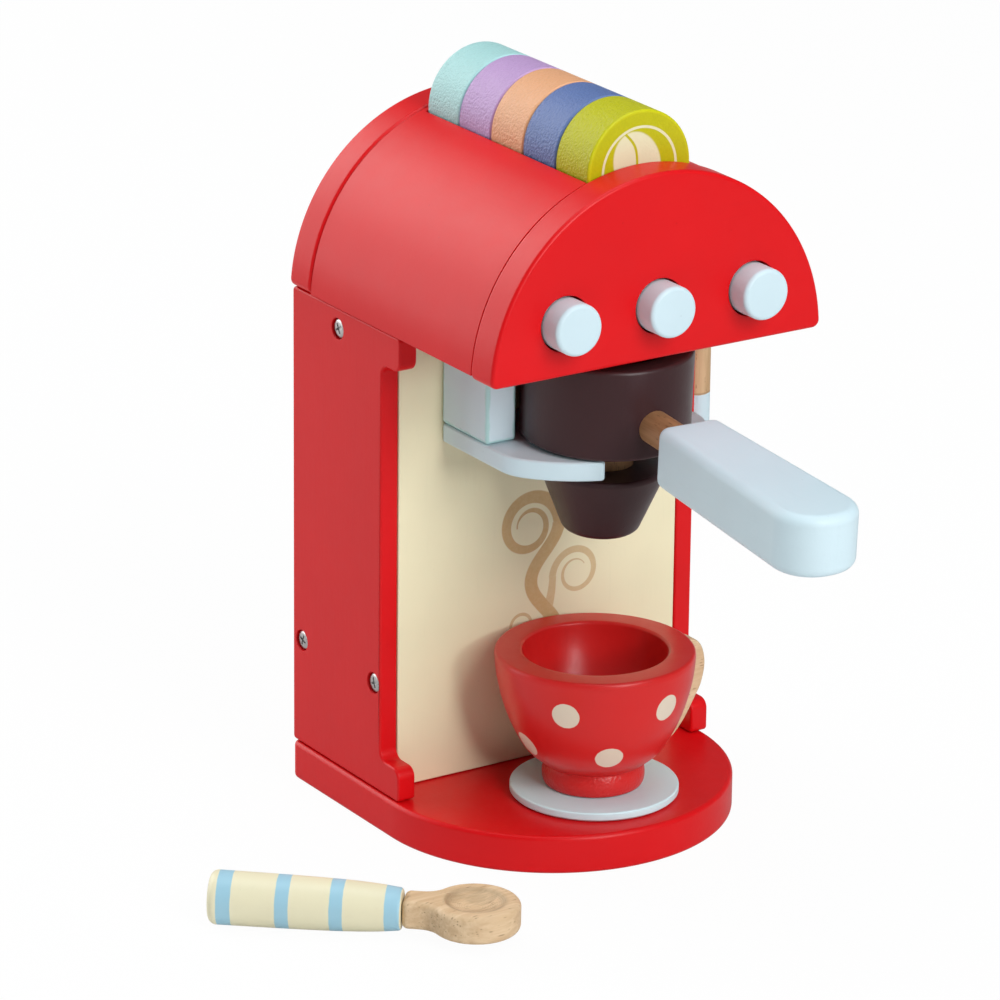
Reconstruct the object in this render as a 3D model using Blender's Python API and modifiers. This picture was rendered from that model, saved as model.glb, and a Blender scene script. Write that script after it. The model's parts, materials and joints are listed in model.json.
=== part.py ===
# A wooden toy coffee maker with capsules, a portafilter, a cup and a spoon.
# Metres, +Z up, the front faces -Y, the origin is the middle of the base's underside.
import math

import bmesh
import bpy
from mathutils import Matrix, Vector

# Shared clearances
gap = 0.0003
overrun = 0.002
round_steps = 32
coarse_steps = 20
screw_steps = 12
arc_steps = 12
corner_steps = 4
edge_steps = 2

# Base board
base_half_width = 0.0704
base_rear_y = 0.0728
base_front_y = -0.0712
base_shift = -0.0014
base_corner_radius = 0.005
base_thickness = 0.015
board_edge = 0.0016

# Box body under the hood
hood_bottom = 0.1981
side_thickness = 0.0076
side_recess_y = 0.00955
side_head_y = -0.00305
side_head_bottom = 0.1845
side_toe_y = -0.00365
side_toe_top = 0.0282
side_fillet = 0.004
side_corner_radius = 0.0015
side_edge = 0.0007
panel_thickness = 0.010
back_panel_inset = 0.00145
top_board_thickness = 0.0159

# Screws of the body, with their heads sunk in the side panels
screw_head_radius = 0.0036
screw_head_height = 0.0011
screw_sink = 0.0012
screw_shank_radius = 0.0017
screw_length = 0.018
screw_low_z = 0.0575

# Hood
hood_overhang = 0.00149
hood_centre_drop = 0.00296
hood_corner_radius = 0.003
hood_front_y = -0.0675
hood_front_thickness = 0.01455
hood_back_thickness = 0.01445
hood_front_drop = 0.0012
shell_inset = 0.0004
shell_thickness = 0.005
plate_edge = 0.0012
hood_floor_thickness = 0.005

# Capsules and the trough that holds them
capsule_count = 5
capsule_radius = 0.0221
capsule_sink = 0.0026
capsule_edge = 0.0014
capsule_side_clearance = 0.0006
trough_rear_bridge = 0.00275
trough_rail_thickness = 0.0057
trough_tray_thickness = 0.003

# Push buttons with their springs and stop board
button_side_inset = 0.0297
button_radius = 0.00974
button_rise = 0.0188
button_reach = 0.0095
button_edge = 0.0013
button_hole_clearance = 0.0007
button_flange_radius = 0.0112
button_flange_thickness = 0.003
spring_turns = 5
spring_radius = 0.006
spring_wire_radius = 0.0006
spring_length = 0.0145
stop_board_thickness = 0.008
stop_board_rim = 0.0025

# Fork that carries the portafilter, with its two blocks
block_inner_x = 0.0312
block_outer_x = 0.0441
block_reach_y = -0.0216
block_edge = 0.0012
fork_top = 0.1575
fork_thickness = 0.0074
fork_half_width = 0.0438
fork_front_rise = 0.02536
fork_front_y = -0.06105
fork_shoulder_radius = 0.018
fork_tip_radius = 0.0012
fork_slot_radius = 0.0155
fork_seat_clearance = 0.0009
fork_edge = 0.0008

# Portafilter, drooping by its own play in the fork
filter_y = -0.03328
filter_lift = 0.0017
filter_droop = math.radians(2.9)
filter_radius = 0.0318
filter_headroom = 0.0038
filter_edge = 0.0012
filter_recess_radius = 0.0223
filter_recess_depth = 0.022
neck_radius = 0.0112
neck_length = 0.0113
neck_tenon = 0.006
spout_top_radius = 0.0241
spout_bottom_radius = 0.0112
spout_height = 0.0268
spout_edge = 0.0012
spout_tip_fillet = 0.004

# Handle of the portafilter
handle_turn = math.radians(-2.7)
handle_shift = 0.0015
handle_dowel_radius = 0.00634
handle_dowel_z = 0.0126
handle_dowel_tenon = 0.007
handle_start = 0.0529
handle_end = 0.1522
handle_near_half_width = 0.0129
handle_far_half_width = 0.01685
handle_thickness = 0.0234
handle_drop = 0.0016
handle_near_radius = 0.004
handle_far_radius = 0.0155
handle_edge = 0.0036

# Coaster and cup
coaster_y = -0.0304
coaster_radius = 0.03195
coaster_top = 0.0187
coaster_edge = 0.0006
cup_y = -0.0296
cup_top = 0.0722
cup_rim_radius = 0.0378
cup_bore_radius = 0.0273
cup_bore_depth = 0.037
ear_thickness = 0.008
ear_edge = 0.0012

# Steam wand on the right side
wand_radius = 0.006
wand_side_clearance = 0.0006
wand_y = 0.0195
wand_top = 0.194
wand_bottom = 0.114
wand_pivot_z = 0.186
wand_edge = 0.0015
wand_screw_shank_radius = 0.002
wand_screw_depth = 0.006

# Spoon lying on the floor
spoon_start_x = -0.16796
spoon_start_y = -0.03135
spoon_heading = math.radians(-39.5)
spoon_grip_length = 0.0706
spoon_grip_radius = 0.0100
spoon_grip_rear_edge = 0.003
spoon_grip_front_edge = 0.0013
spoon_neck_half_width = 0.0064
spoon_neck_flare = 0.008
spoon_scoop_centre = 0.0971
spoon_scoop_radius = 0.0165
spoon_scoop_thickness = 0.0111
spoon_scoop_edge = 0.002
spoon_bowl_radius = 0.0115
spoon_bowl_depth = 0.003
spoon_tenon = 0.008
scoop_steps = 24

# Heights and depths that follow from the sizes above
body_inner_half = base_half_width - side_thickness
body_top = hood_bottom - gap
body_floor = base_thickness + gap
hood_centre_z = hood_bottom - hood_centre_drop
hood_radius = math.hypot(base_half_width + hood_overhang, hood_centre_drop)
hood_plate_back = hood_front_y + hood_front_thickness
hood_back_front = base_rear_y - hood_back_thickness
shell_front = hood_plate_back + gap
shell_back = hood_back_front - gap
shell_outer = hood_radius - shell_inset
shell_inner = shell_outer - shell_thickness
front_panel_rear = side_recess_y + panel_thickness
back_panel_rear = base_rear_y - back_panel_inset
back_panel_front = back_panel_rear - panel_thickness
capsule_centre_z = hood_centre_z + hood_radius - capsule_sink
slot_half_width = capsule_radius + capsule_side_clearance
slot_rear = hood_back_front - trough_rear_bridge
capsule_row = slot_rear - hood_plate_back
capsule_thickness = (capsule_row - (capsule_count + 1) * gap) / capsule_count
tray_top = capsule_centre_z - capsule_radius - gap
floor_top = hood_bottom + gap + hood_floor_thickness
button_z = hood_bottom + button_rise
button_pitch = base_half_width - button_side_inset
stop_board_top = button_z + spring_radius + stop_board_rim
stop_board_half_width = button_pitch + spring_radius + stop_board_rim
stop_board_front = hood_plate_back + gap + button_flange_thickness + gap + spring_length + gap
fork_bottom = fork_top - fork_thickness
filter_z = fork_top + filter_lift
filter_height = hood_bottom - filter_headroom - filter_z
cup_foot_z = coaster_top + gap
cup_height = cup_top - cup_foot_z
wand_x = base_half_width + wand_side_clearance + wand_radius

# A screw's domed head as shares of its radius and of its height
dome_share = 0.6
rim_share = 0.45

# Cup profile as shares of the rim radius and of the cup's height
cup_outer_shares = [
    (0.475, 0.000),
    (0.508, 0.030),
    (0.514, 0.075),
    (0.503, 0.125),
    (0.490, 0.160),
    (0.555, 0.188),
    (0.685, 0.274),
    (0.780, 0.388),
    (0.860, 0.519),
    (0.922, 0.652),
    (0.958, 0.778),
    (0.985, 0.900),
    (0.996, 0.955),
    (0.985, 0.985),
    (0.955, 1.000),
]
cup_bore_shares = [
    (1.060, 0.000),
    (1.010, 0.015),
    (0.995, 0.060),
    (0.980, 0.300),
    (0.920, 0.530),
    (0.800, 0.740),
    (0.600, 0.900),
    (0.330, 0.985),
    (0.000, 1.000),
]
ear_outline_shares = [
    (0.55, 0.195),
    (0.80, 0.195),
    (0.90, 0.225),
    (1.03, 0.330),
    (1.14, 0.460),
    (1.22, 0.560),
    (1.26, 0.660),
    (1.270, 0.740),
    (1.25, 0.820),
    (1.205, 0.885),
    (1.13, 0.925),
    (1.02, 0.940),
    (0.55, 0.940),
]

# Spoon grip as shares of its radius and of its length, from the front to the rear
spoon_grip_shares = [
    (0.790, 0.981),
    (0.868, 0.880),
    (0.925, 0.750),
    (0.960, 0.600),
    (0.986, 0.350),
]
spoon_rest_share = (0.960, 0.600)


def clear_scene():
    for item in list(bpy.data.objects):
        bpy.data.objects.remove(item, do_unlink=True)


def new_collection(name):
    made = bpy.data.collections.new(name)
    bpy.context.scene.collection.children.link(made)
    return made


def paint(name, colour, roughness, metallic=0.0):
    material = bpy.data.materials.new(name)
    material.use_nodes = True
    shader = material.node_tree.nodes["Principled BSDF"]
    shader.inputs["Base Color"].default_value = (*colour, 1.0)
    shader.inputs["Roughness"].default_value = roughness
    shader.inputs["Metallic"].default_value = metallic
    material.diffuse_color = (*colour, 1.0)
    return material


def add_object(name, data, material, parent=None):
    made = bpy.data.objects.new(name, data)
    part.objects.link(made)
    made.parent = parent
    if material:
        data.materials.append(material)
    return made


def as_cutter(item):
    part.objects.unlink(item)
    cutters.objects.link(item)
    item.hide_render = True
    item.display_type = "WIRE"
    return item


def empty(name, place, turn=(0, 0, 0)):
    made = bpy.data.objects.new(name, None)
    part.objects.link(made)
    made.location = place
    made.rotation_euler = turn
    return made


def bevel(item, width, segments=2, limit=40):
    mod = item.modifiers.new("rounded edges", "BEVEL")
    mod.width = width
    mod.segments = segments
    mod.limit_method = "ANGLE"
    mod.angle_limit = math.radians(limit)
    mod.harden_normals = False
    return mod


def cut(item, cutter):
    mod = item.modifiers.new("cut", "BOOLEAN")
    mod.operation = "DIFFERENCE"
    mod.solver = "EXACT"
    mod.object = cutter
    return mod


def join(item, other):
    mod = item.modifiers.new("join", "BOOLEAN")
    mod.operation = "UNION"
    mod.solver = "EXACT"
    mod.object = other
    return mod


# Boxes start as a unit cube that two opposite corners scale and place
def box(name, low, high, material, parent=None):
    mesh = bpy.data.meshes.new(name)
    shape = bmesh.new()
    bmesh.ops.create_cube(shape, size=1)
    size = Vector(high) - Vector(low)
    middle = (Vector(high) + Vector(low)) / 2
    bmesh.ops.transform(shape, matrix=Matrix.Diagonal((*size, 1)), verts=shape.verts)
    shape.to_mesh(mesh)
    shape.free()
    made = add_object(name, mesh, material, parent)
    made.location = middle
    return made


# Points of an arc in its own plane, both ends kept
def arc(centre, radius, start, end, steps):
    step = (end - start) / steps
    return [
        (centre[0] + radius * math.cos(start + i * step), centre[1] + radius * math.sin(start + i * step))
        for i in range(steps + 1)
    ]


# Radius of an arc over a chord, from half the chord and the arc's rise
def arc_radius(half_chord, rise):
    return (half_chord ** 2 + rise ** 2) / (2 * rise)


# An outline whose corners carry a radius each: (u, v) is sharp, (u, v, r) is round
def rounded(corners, steps=6):
    points = []
    count = len(corners)
    for i, corner in enumerate(corners):
        here = Vector(corner[:2])
        if len(corner) < 3 or not corner[2]:
            points.append(tuple(here))
            continue
        back = (Vector(corners[i - 1][:2]) - here).normalized()
        ahead = (Vector(corners[(i + 1) % count][:2]) - here).normalized()
        half = back.angle(ahead) / 2
        centre = here + (back + ahead).normalized() * corner[2] / math.sin(half)
        first = here + back * corner[2] / math.tan(half) - centre
        last = here + ahead * corner[2] / math.tan(half) - centre
        sweep = first.angle_signed(last)
        for k in range(steps + 1):
            turned = first.copy()
            turned.rotate(Matrix.Rotation(-sweep * k / steps, 2))
            points.append(tuple(centre + turned))
    return points


# A board: a flat outline in the plane across one axis, given its thickness by Solidify
def board(name, outline, across, low, thickness, material, parent=None):
    place = {
        "x": lambda u, v: (low, u, v),
        "y": lambda u, v: (u, low, v),
        "z": lambda u, v: (u, v, low),
    }[across]
    mesh = bpy.data.meshes.new(name)
    shape = bmesh.new()
    corners = [shape.verts.new(place(u, v)) for u, v in outline]
    face = shape.faces.new(corners)
    face.normal_update()
    if face.normal["xyz".index(across)] > 0:
        face.normal_flip()
    shape.to_mesh(mesh)
    shape.free()
    made = add_object(name, mesh, material, parent)
    mod = made.modifiers.new("thickness", "SOLIDIFY")
    mod.thickness = thickness
    mod.offset = -1
    return made


# A turned piece: (radius, height) points down the outer side, swept round an axis
def turned(name, profile, material, steps=round_steps, parent=None):
    mesh = bpy.data.meshes.new(name)
    shape = bmesh.new()
    points = [shape.verts.new((r, 0, z)) for r, z in profile]
    for first, second in zip(points, points[1:]):
        shape.edges.new((first, second))
    shape.to_mesh(mesh)
    shape.free()
    made = add_object(name, mesh, material, parent)
    mod = made.modifiers.new("turning", "SCREW")
    mod.steps = steps
    mod.render_steps = steps
    mod.use_merge_vertices = True
    mod.merge_threshold = 0.00001
    return made


# The D of the hood: a flat chord on the body and an arc over it
def hood_outline(radius, corner, bottom=hood_bottom):
    rise = bottom - hood_centre_z
    start = math.asin(rise / radius)
    points = arc((0, hood_centre_z), radius, start, math.pi - start, round_steps)
    first, last = points[0], points[-1]
    inner = points[1:-1]
    return rounded([(*first, corner), *inner, (*last, corner)])


clear_scene()
part = new_collection("toy coffee maker")
cutters = new_collection("cutters")

red = paint("red_paint", (0.62, 0.024, 0.028), 0.38)
cream = paint("cream_paint", (0.76, 0.66, 0.45), 0.45)
pale_blue = paint("pale_blue_paint", (0.60, 0.74, 0.79), 0.42)
brown = paint("brown_paint", (0.05, 0.022, 0.022), 0.4)
beech = paint("beech", (0.56, 0.36, 0.19), 0.6)
steel = paint("screw_steel", (0.62, 0.62, 0.62), 0.3, 1.0)
spring_steel = paint("spring_steel", (0.55, 0.55, 0.55), 0.35, 1.0)
spoon_paint = paint("spoon_paint", (0.78, 0.74, 0.55), 0.42)
capsule_paints = [
    ("aqua", paint("aqua_paint", (0.32, 0.60, 0.60), 0.5)),
    ("lilac", paint("lilac_paint", (0.42, 0.25, 0.55), 0.5)),
    ("orange", paint("orange_paint", (0.72, 0.30, 0.12), 0.5)),
    ("blue", paint("blue_paint", (0.05, 0.11, 0.33), 0.5)),
    ("lime", paint("lime_paint", (0.52, 0.52, 0.012), 0.5)),
]


def make_base():
    centre = (base_shift, base_front_y + base_half_width)
    outline = rounded([
        (base_shift - base_half_width, base_rear_y, base_corner_radius),
        *arc(centre, base_half_width, -math.pi, 0, round_steps),
        (base_shift + base_half_width, base_rear_y, base_corner_radius),
    ], corner_steps)
    bevel(board("base", outline, "z", 0, base_thickness, red), board_edge)


# Each side panel steps forward at its foot and at its head
def side_outline():
    return rounded([
        (base_rear_y, body_floor, side_corner_radius),
        (base_rear_y, body_top, side_corner_radius),
        (side_head_y, body_top, side_corner_radius),
        (side_head_y, side_head_bottom, side_fillet),
        (side_recess_y, side_head_bottom, side_fillet),
        (side_recess_y, side_toe_top, side_fillet),
        (side_toe_y, side_toe_top, side_fillet),
        (side_toe_y, body_floor, side_corner_radius),
    ], corner_steps)


def screw_profile(head, rise, length, shank, clearance=0):
    return [
        (0, rise + clearance),
        (head * dome_share, rise + clearance),
        (head + clearance, rise * rim_share + clearance),
        (head + clearance, -clearance),
        (shank + clearance, -clearance),
        (shank + clearance, -length - clearance),
        (0, -length - clearance),
    ]


# A screw points inward along X from the outer face of a side panel
def make_screws():
    middle = (front_panel_rear + back_panel_front) / 2
    places = [
        ("top", middle, body_top - top_board_thickness / 2),
        ("rear", back_panel_rear - panel_thickness / 2, screw_low_z),
        ("front", side_recess_y + panel_thickness / 2, screw_low_z),
    ]
    bores = []
    for side, sign in (("left", -1), ("right", 1)):
        for label, y, z in places:
            seat = base_half_width - screw_sink
            profile = screw_profile(screw_head_radius, screw_head_height, screw_length, screw_shank_radius)
            screw = turned(f"screw_{side}_{label}", profile, steel, screw_steps)
            screw.location = (sign * seat, y, z)
            screw.rotation_euler = (0, sign * math.pi / 2, 0)
            hole = screw_profile(
                screw_head_radius, screw_sink + overrun, screw_length, screw_shank_radius, gap)
            hole[1] = (screw_head_radius + gap, hole[1][1])
            hole[2] = (screw_head_radius + gap, 0)
            bore = as_cutter(turned(f"bore_{side}_{label}", hole, None, screw_steps))
            bore.location = screw.location
            bore.rotation_euler = screw.rotation_euler
            bores.append((side, label, bore))
    return bores


def make_body(bores):
    panels = {}
    for side, low in (("left", -base_half_width), ("right", body_inner_half)):
        panel = board(f"side_panel_{side}", side_outline(), "x", low, side_thickness, red)
        bevel(panel, side_edge, 1)
        panels[side] = panel
    inside = body_inner_half - gap
    front = box("front_panel", (-inside, side_recess_y, body_floor),
                (inside, front_panel_rear, body_top), cream)
    back = box("back_panel", (-inside, back_panel_front, body_floor),
               (inside, back_panel_rear, body_top), red)
    top = box("top_board", (-inside, front_panel_rear + gap, body_top - top_board_thickness),
              (inside, back_panel_front - gap, body_top), red)
    receivers = {"front": front, "rear": back, "top": top}
    for side, label, bore in bores:
        cut(panels[side], bore)
        cut(receivers[label], bore)
    return panels["right"]


def make_hood():
    back = board("hood_back_plate", hood_outline(hood_radius, hood_corner_radius), "y",
                 hood_back_front, hood_back_thickness, red)
    bevel(back, plate_edge, 1)
    front_outline = hood_outline(hood_radius, hood_corner_radius, hood_bottom - hood_front_drop)
    front = board("hood_front_plate", front_outline, "y", hood_front_y, hood_front_thickness, red)
    bevel(front, plate_edge, 1)
    for i in (-1, 0, 1):
        hole_radius = button_radius + button_hole_clearance
        reach = hood_front_thickness + overrun
        hole = as_cutter(turned(f"button_hole_{i + 1}", [
            (0, reach), (hole_radius, reach), (hole_radius, -overrun), (0, -overrun)], None))
        hole.location = (i * button_pitch, hood_front_y, button_z)
        hole.rotation_euler = (-math.pi / 2, 0, 0)
        cut(front, hole)

    bottom = hood_bottom + gap
    rise = bottom - hood_centre_z
    outer_start = math.asin(rise / shell_outer)
    inner_start = math.asin(rise / shell_inner)
    outer = arc((0, hood_centre_z), shell_outer, outer_start, math.pi - outer_start, round_steps)
    inner = arc((0, hood_centre_z), shell_inner, math.pi - inner_start, inner_start, round_steps)
    shell = board("hood_shell", outer + inner, "y", shell_front, shell_back - shell_front, red)
    bevel(shell, shell_inset, 1, 60)
    slot = as_cutter(box("capsule_slot", (-slot_half_width, shell_front - overrun, tray_top),
                         (slot_half_width, slot_rear, hood_centre_z + hood_radius + overrun), None))
    cut(shell, slot)

    floor_half = math.sqrt(shell_inner ** 2 - (floor_top - hood_centre_z) ** 2) - gap
    box("hood_floor", (-floor_half, shell_front, bottom), (floor_half, shell_back, floor_top), red)


def make_trough():
    rail_inner = slot_half_width + gap
    rail_outer = rail_inner + trough_rail_thickness
    rail_top = hood_centre_z + math.sqrt(shell_inner ** 2 - rail_outer ** 2) - gap
    tray_bottom = tray_top - trough_tray_thickness
    for side, low, high in (("left", -rail_outer, -rail_inner), ("right", rail_inner, rail_outer)):
        box(f"trough_rail_{side}", (low, shell_front, tray_bottom), (high, shell_back, rail_top), beech)
    box("trough_tray", (-slot_half_width, shell_front, tray_bottom),
        (slot_half_width, shell_back, tray_top), beech)


def edge_profile(radius, low, high, edge, steps=edge_steps):
    top = arc((radius - edge, high - edge), edge, math.pi / 2, 0, steps)
    bottom = arc((radius - edge, low + edge), edge, 0, -math.pi / 2, steps)
    return [(0, high), *top, *bottom, (0, low)]


def make_capsules():
    profile = edge_profile(capsule_radius, -capsule_thickness / 2, capsule_thickness / 2, capsule_edge, 1)
    for i, (label, material) in enumerate(capsule_paints[:capsule_count]):
        capsule = turned(f"capsule_{label}", profile, material)
        near = slot_rear - gap - capsule_thickness / 2
        capsule.location = (0, near - i * (capsule_thickness + gap), capsule_centre_z)
        capsule.rotation_euler = (math.pi / 2, 0, 0)


def make_buttons():
    flange_back = hood_plate_back + gap + button_flange_thickness
    length = flange_back - hood_front_y + button_reach
    neck = length - button_flange_thickness
    nose = arc((button_radius - button_edge, length - button_edge), button_edge, math.pi / 2, 0, edge_steps)
    profile = [
        (0, length), *nose,
        (button_radius, button_flange_thickness),
        (button_flange_radius, button_flange_thickness),
        (button_flange_radius, 0), (0, 0),
    ]
    steps_each_turn = 8
    climb = spring_length - 2 * spring_wire_radius
    for label, i in (("left", -1), ("middle", 0), ("right", 1)):
        button = turned(f"button_{label}", profile, pale_blue)
        button.location = (i * button_pitch, flange_back, button_z)
        button.rotation_euler = (math.pi / 2, 0, 0)

        curve = bpy.data.curves.new(f"button_spring_{label}", "CURVE")
        curve.dimensions = "3D"
        curve.bevel_depth = spring_wire_radius
        curve.bevel_resolution = 1
        curve.use_fill_caps = True
        path = curve.splines.new("POLY")
        count = spring_turns * steps_each_turn
        path.points.add(count)
        for k in range(count + 1):
            angle = math.tau * k / steps_each_turn
            along = spring_wire_radius + climb * k / count
            path.points[k].co = (spring_radius * math.cos(angle), along, spring_radius * math.sin(angle), 1)
        spring = add_object(f"button_spring_{label}", curve, spring_steel)
        spring.location = (i * button_pitch, flange_back + gap, button_z)

    box("button_stop", (-stop_board_half_width, stop_board_front, floor_top + gap),
        (stop_board_half_width, stop_board_front + stop_board_thickness, stop_board_top), beech)


def make_fork():
    rear = side_recess_y - gap
    for side, low, high in (("left", -block_outer_x, -block_inner_x), ("right", block_inner_x, block_outer_x)):
        block = box(f"bracket_block_{side}", (low, block_reach_y, fork_top + gap),
                    (high, rear, body_top), pale_blue)
        bevel(block, block_edge)

    # Each shoulder is an arc that touches both the straight side and the round front
    radius = arc_radius(fork_half_width, fork_front_rise)
    centre_y = fork_front_y + radius
    shoulder_x = fork_half_width - fork_shoulder_radius
    shoulder_y = centre_y - math.sqrt((radius - fork_shoulder_radius) ** 2 - shoulder_x ** 2)
    meet = math.atan2(centre_y - shoulder_y, shoulder_x)
    tip = math.acos(fork_slot_radius / radius)
    slot_centre = filter_y + neck_radius + fork_seat_clearance - fork_slot_radius
    tine = [
        (fork_half_width, rear),
        *arc((shoulder_x, shoulder_y), fork_shoulder_radius, 0, -meet, corner_steps),
        *arc((0, centre_y), radius, -meet, -tip, arc_steps)[1:-1],
        (fork_slot_radius, centre_y - radius * math.sin(tip), fork_tip_radius),
    ]
    slot = arc((0, slot_centre), fork_slot_radius, 0, math.pi, arc_steps)
    mirrored = [(-x, *rest) for x, *rest in reversed(tine)]
    outline = rounded([*tine, *slot, *mirrored], corner_steps)
    fork = board("fork_plate", outline, "z", fork_bottom, fork_thickness, pale_blue)
    bevel(fork, fork_edge)


# The portafilter's own axis leans forward; its empty carries all of its pieces
def make_portafilter():
    axis = empty("portafilter_axis", (0, filter_y, filter_z), (filter_droop, 0, 0))

    holder = turned("filter_holder", [
        (0, filter_height - filter_recess_depth),
        (filter_recess_radius, filter_height - filter_recess_depth),
        (filter_recess_radius, filter_height - filter_edge),
        (filter_recess_radius + filter_edge, filter_height),
        *arc((filter_radius - filter_edge, filter_height - filter_edge), filter_edge, math.pi / 2, 0, edge_steps),
        *arc((filter_radius - filter_edge, filter_edge), filter_edge, 0, -math.pi / 2, edge_steps),
        (neck_radius + gap, 0),
        (neck_radius + gap, neck_tenon + gap),
        (0, neck_tenon + gap),
    ], brown, round_steps, axis)

    turned("filter_neck", [
        (0, neck_tenon), (neck_radius, neck_tenon),
        (neck_radius, -neck_length - neck_tenon), (0, -neck_length - neck_tenon),
    ], beech, round_steps, axis)

    top = -neck_length - gap
    low = top - spout_height
    lean = math.atan2(spout_top_radius - spout_bottom_radius, spout_height)
    turned("filter_spout", [
        (0, -neck_length - neck_tenon - gap),
        (neck_radius + gap, -neck_length - neck_tenon - gap),
        (neck_radius + gap, top),
        (spout_top_radius - spout_edge, top),
        (spout_top_radius, top - spout_edge),
        *arc((spout_bottom_radius, low + spout_tip_fillet), spout_tip_fillet, -lean, -math.pi / 2, corner_steps),
        (0, low),
    ], brown, round_steps, axis)

    heading = empty("handle_heading", (handle_shift, 0, 0), (0, 0, handle_turn))
    heading.parent = axis
    tenon_start = filter_radius - handle_dowel_tenon
    tenon_end = handle_start + handle_dowel_tenon
    dowel_length = tenon_end - tenon_start
    dowel = turned("handle_dowel", [
        (0, dowel_length), (handle_dowel_radius, dowel_length),
        (handle_dowel_radius, 0), (0, 0),
    ], beech, coarse_steps, heading)
    dowel.location = (0, -tenon_start, handle_dowel_z)
    dowel.rotation_euler = (math.pi / 2, 0, 0)
    bore = as_cutter(turned("handle_bore", [
        (0, dowel_length + gap), (handle_dowel_radius + gap, dowel_length + gap),
        (handle_dowel_radius + gap, -gap), (0, -gap),
    ], None, coarse_steps, heading))
    bore.location = dowel.location
    bore.rotation_euler = dowel.rotation_euler
    cut(holder, bore)

    outline = rounded([
        (-handle_near_half_width, -handle_start, handle_near_radius),
        (-handle_far_half_width, -handle_end, handle_far_radius),
        (handle_far_half_width, -handle_end, handle_far_radius),
        (handle_near_half_width, -handle_start, handle_near_radius),
    ])
    low = handle_dowel_z - handle_drop - handle_thickness / 2
    handle = board("handle", outline, "z", low, handle_thickness, pale_blue, heading)
    bevel(handle, handle_edge, 3)
    cut(handle, bore)


def cup_outer(clearance=0):
    return [(r * cup_rim_radius + clearance, cup_foot_z + h * cup_height) for r, h in reversed(cup_outer_shares)]


def make_cup():
    coaster = turned("coaster", edge_profile(coaster_radius, body_floor, coaster_top, coaster_edge, 1),
                     pale_blue)
    coaster.location = (0, coaster_y, 0)

    bore = [(r * cup_bore_radius, cup_top - d * cup_bore_depth) for r, d in reversed(cup_bore_shares)]
    cup = turned("cup", [*bore, *cup_outer(), (0, cup_foot_z)], red)
    cup.location = (0, cup_y, 0)

    outline = [(r * cup_rim_radius, cup_foot_z + h * cup_height) for r, h in ear_outline_shares]
    ear = board("cup_ear", outline, "y", cup_y - ear_thickness / 2, ear_thickness, beech)
    bevel(ear, ear_edge, 2, 50)
    seat = as_cutter(turned("ear_seat", [
        (0, cup_top), *cup_outer(gap), (0, cup_foot_z)], None))
    seat.location = cup.location
    cut(ear, seat)


def make_wand(panel):
    wand = turned("steam_wand", edge_profile(wand_radius, wand_bottom - wand_pivot_z,
                                             wand_top - wand_pivot_z, wand_edge), beech, coarse_steps)
    wand.location = (wand_x, wand_y, wand_pivot_z)
    length = 2 * wand_radius + wand_side_clearance + wand_screw_depth
    screw = turned("wand_screw", screw_profile(
        screw_head_radius, screw_head_height, length, wand_screw_shank_radius), steel, screw_steps)
    screw.location = (wand_x + wand_radius + gap, wand_y, wand_pivot_z)
    screw.rotation_euler = (0, math.pi / 2, 0)
    bore = as_cutter(turned("wand_bore", [
        (0, overrun), (wand_screw_shank_radius + gap, overrun),
        (wand_screw_shank_radius + gap, -length - gap), (0, -length - gap),
    ], None, screw_steps))
    bore.location = screw.location
    bore.rotation_euler = screw.rotation_euler
    cut(wand, bore)
    cut(panel, bore)


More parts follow.
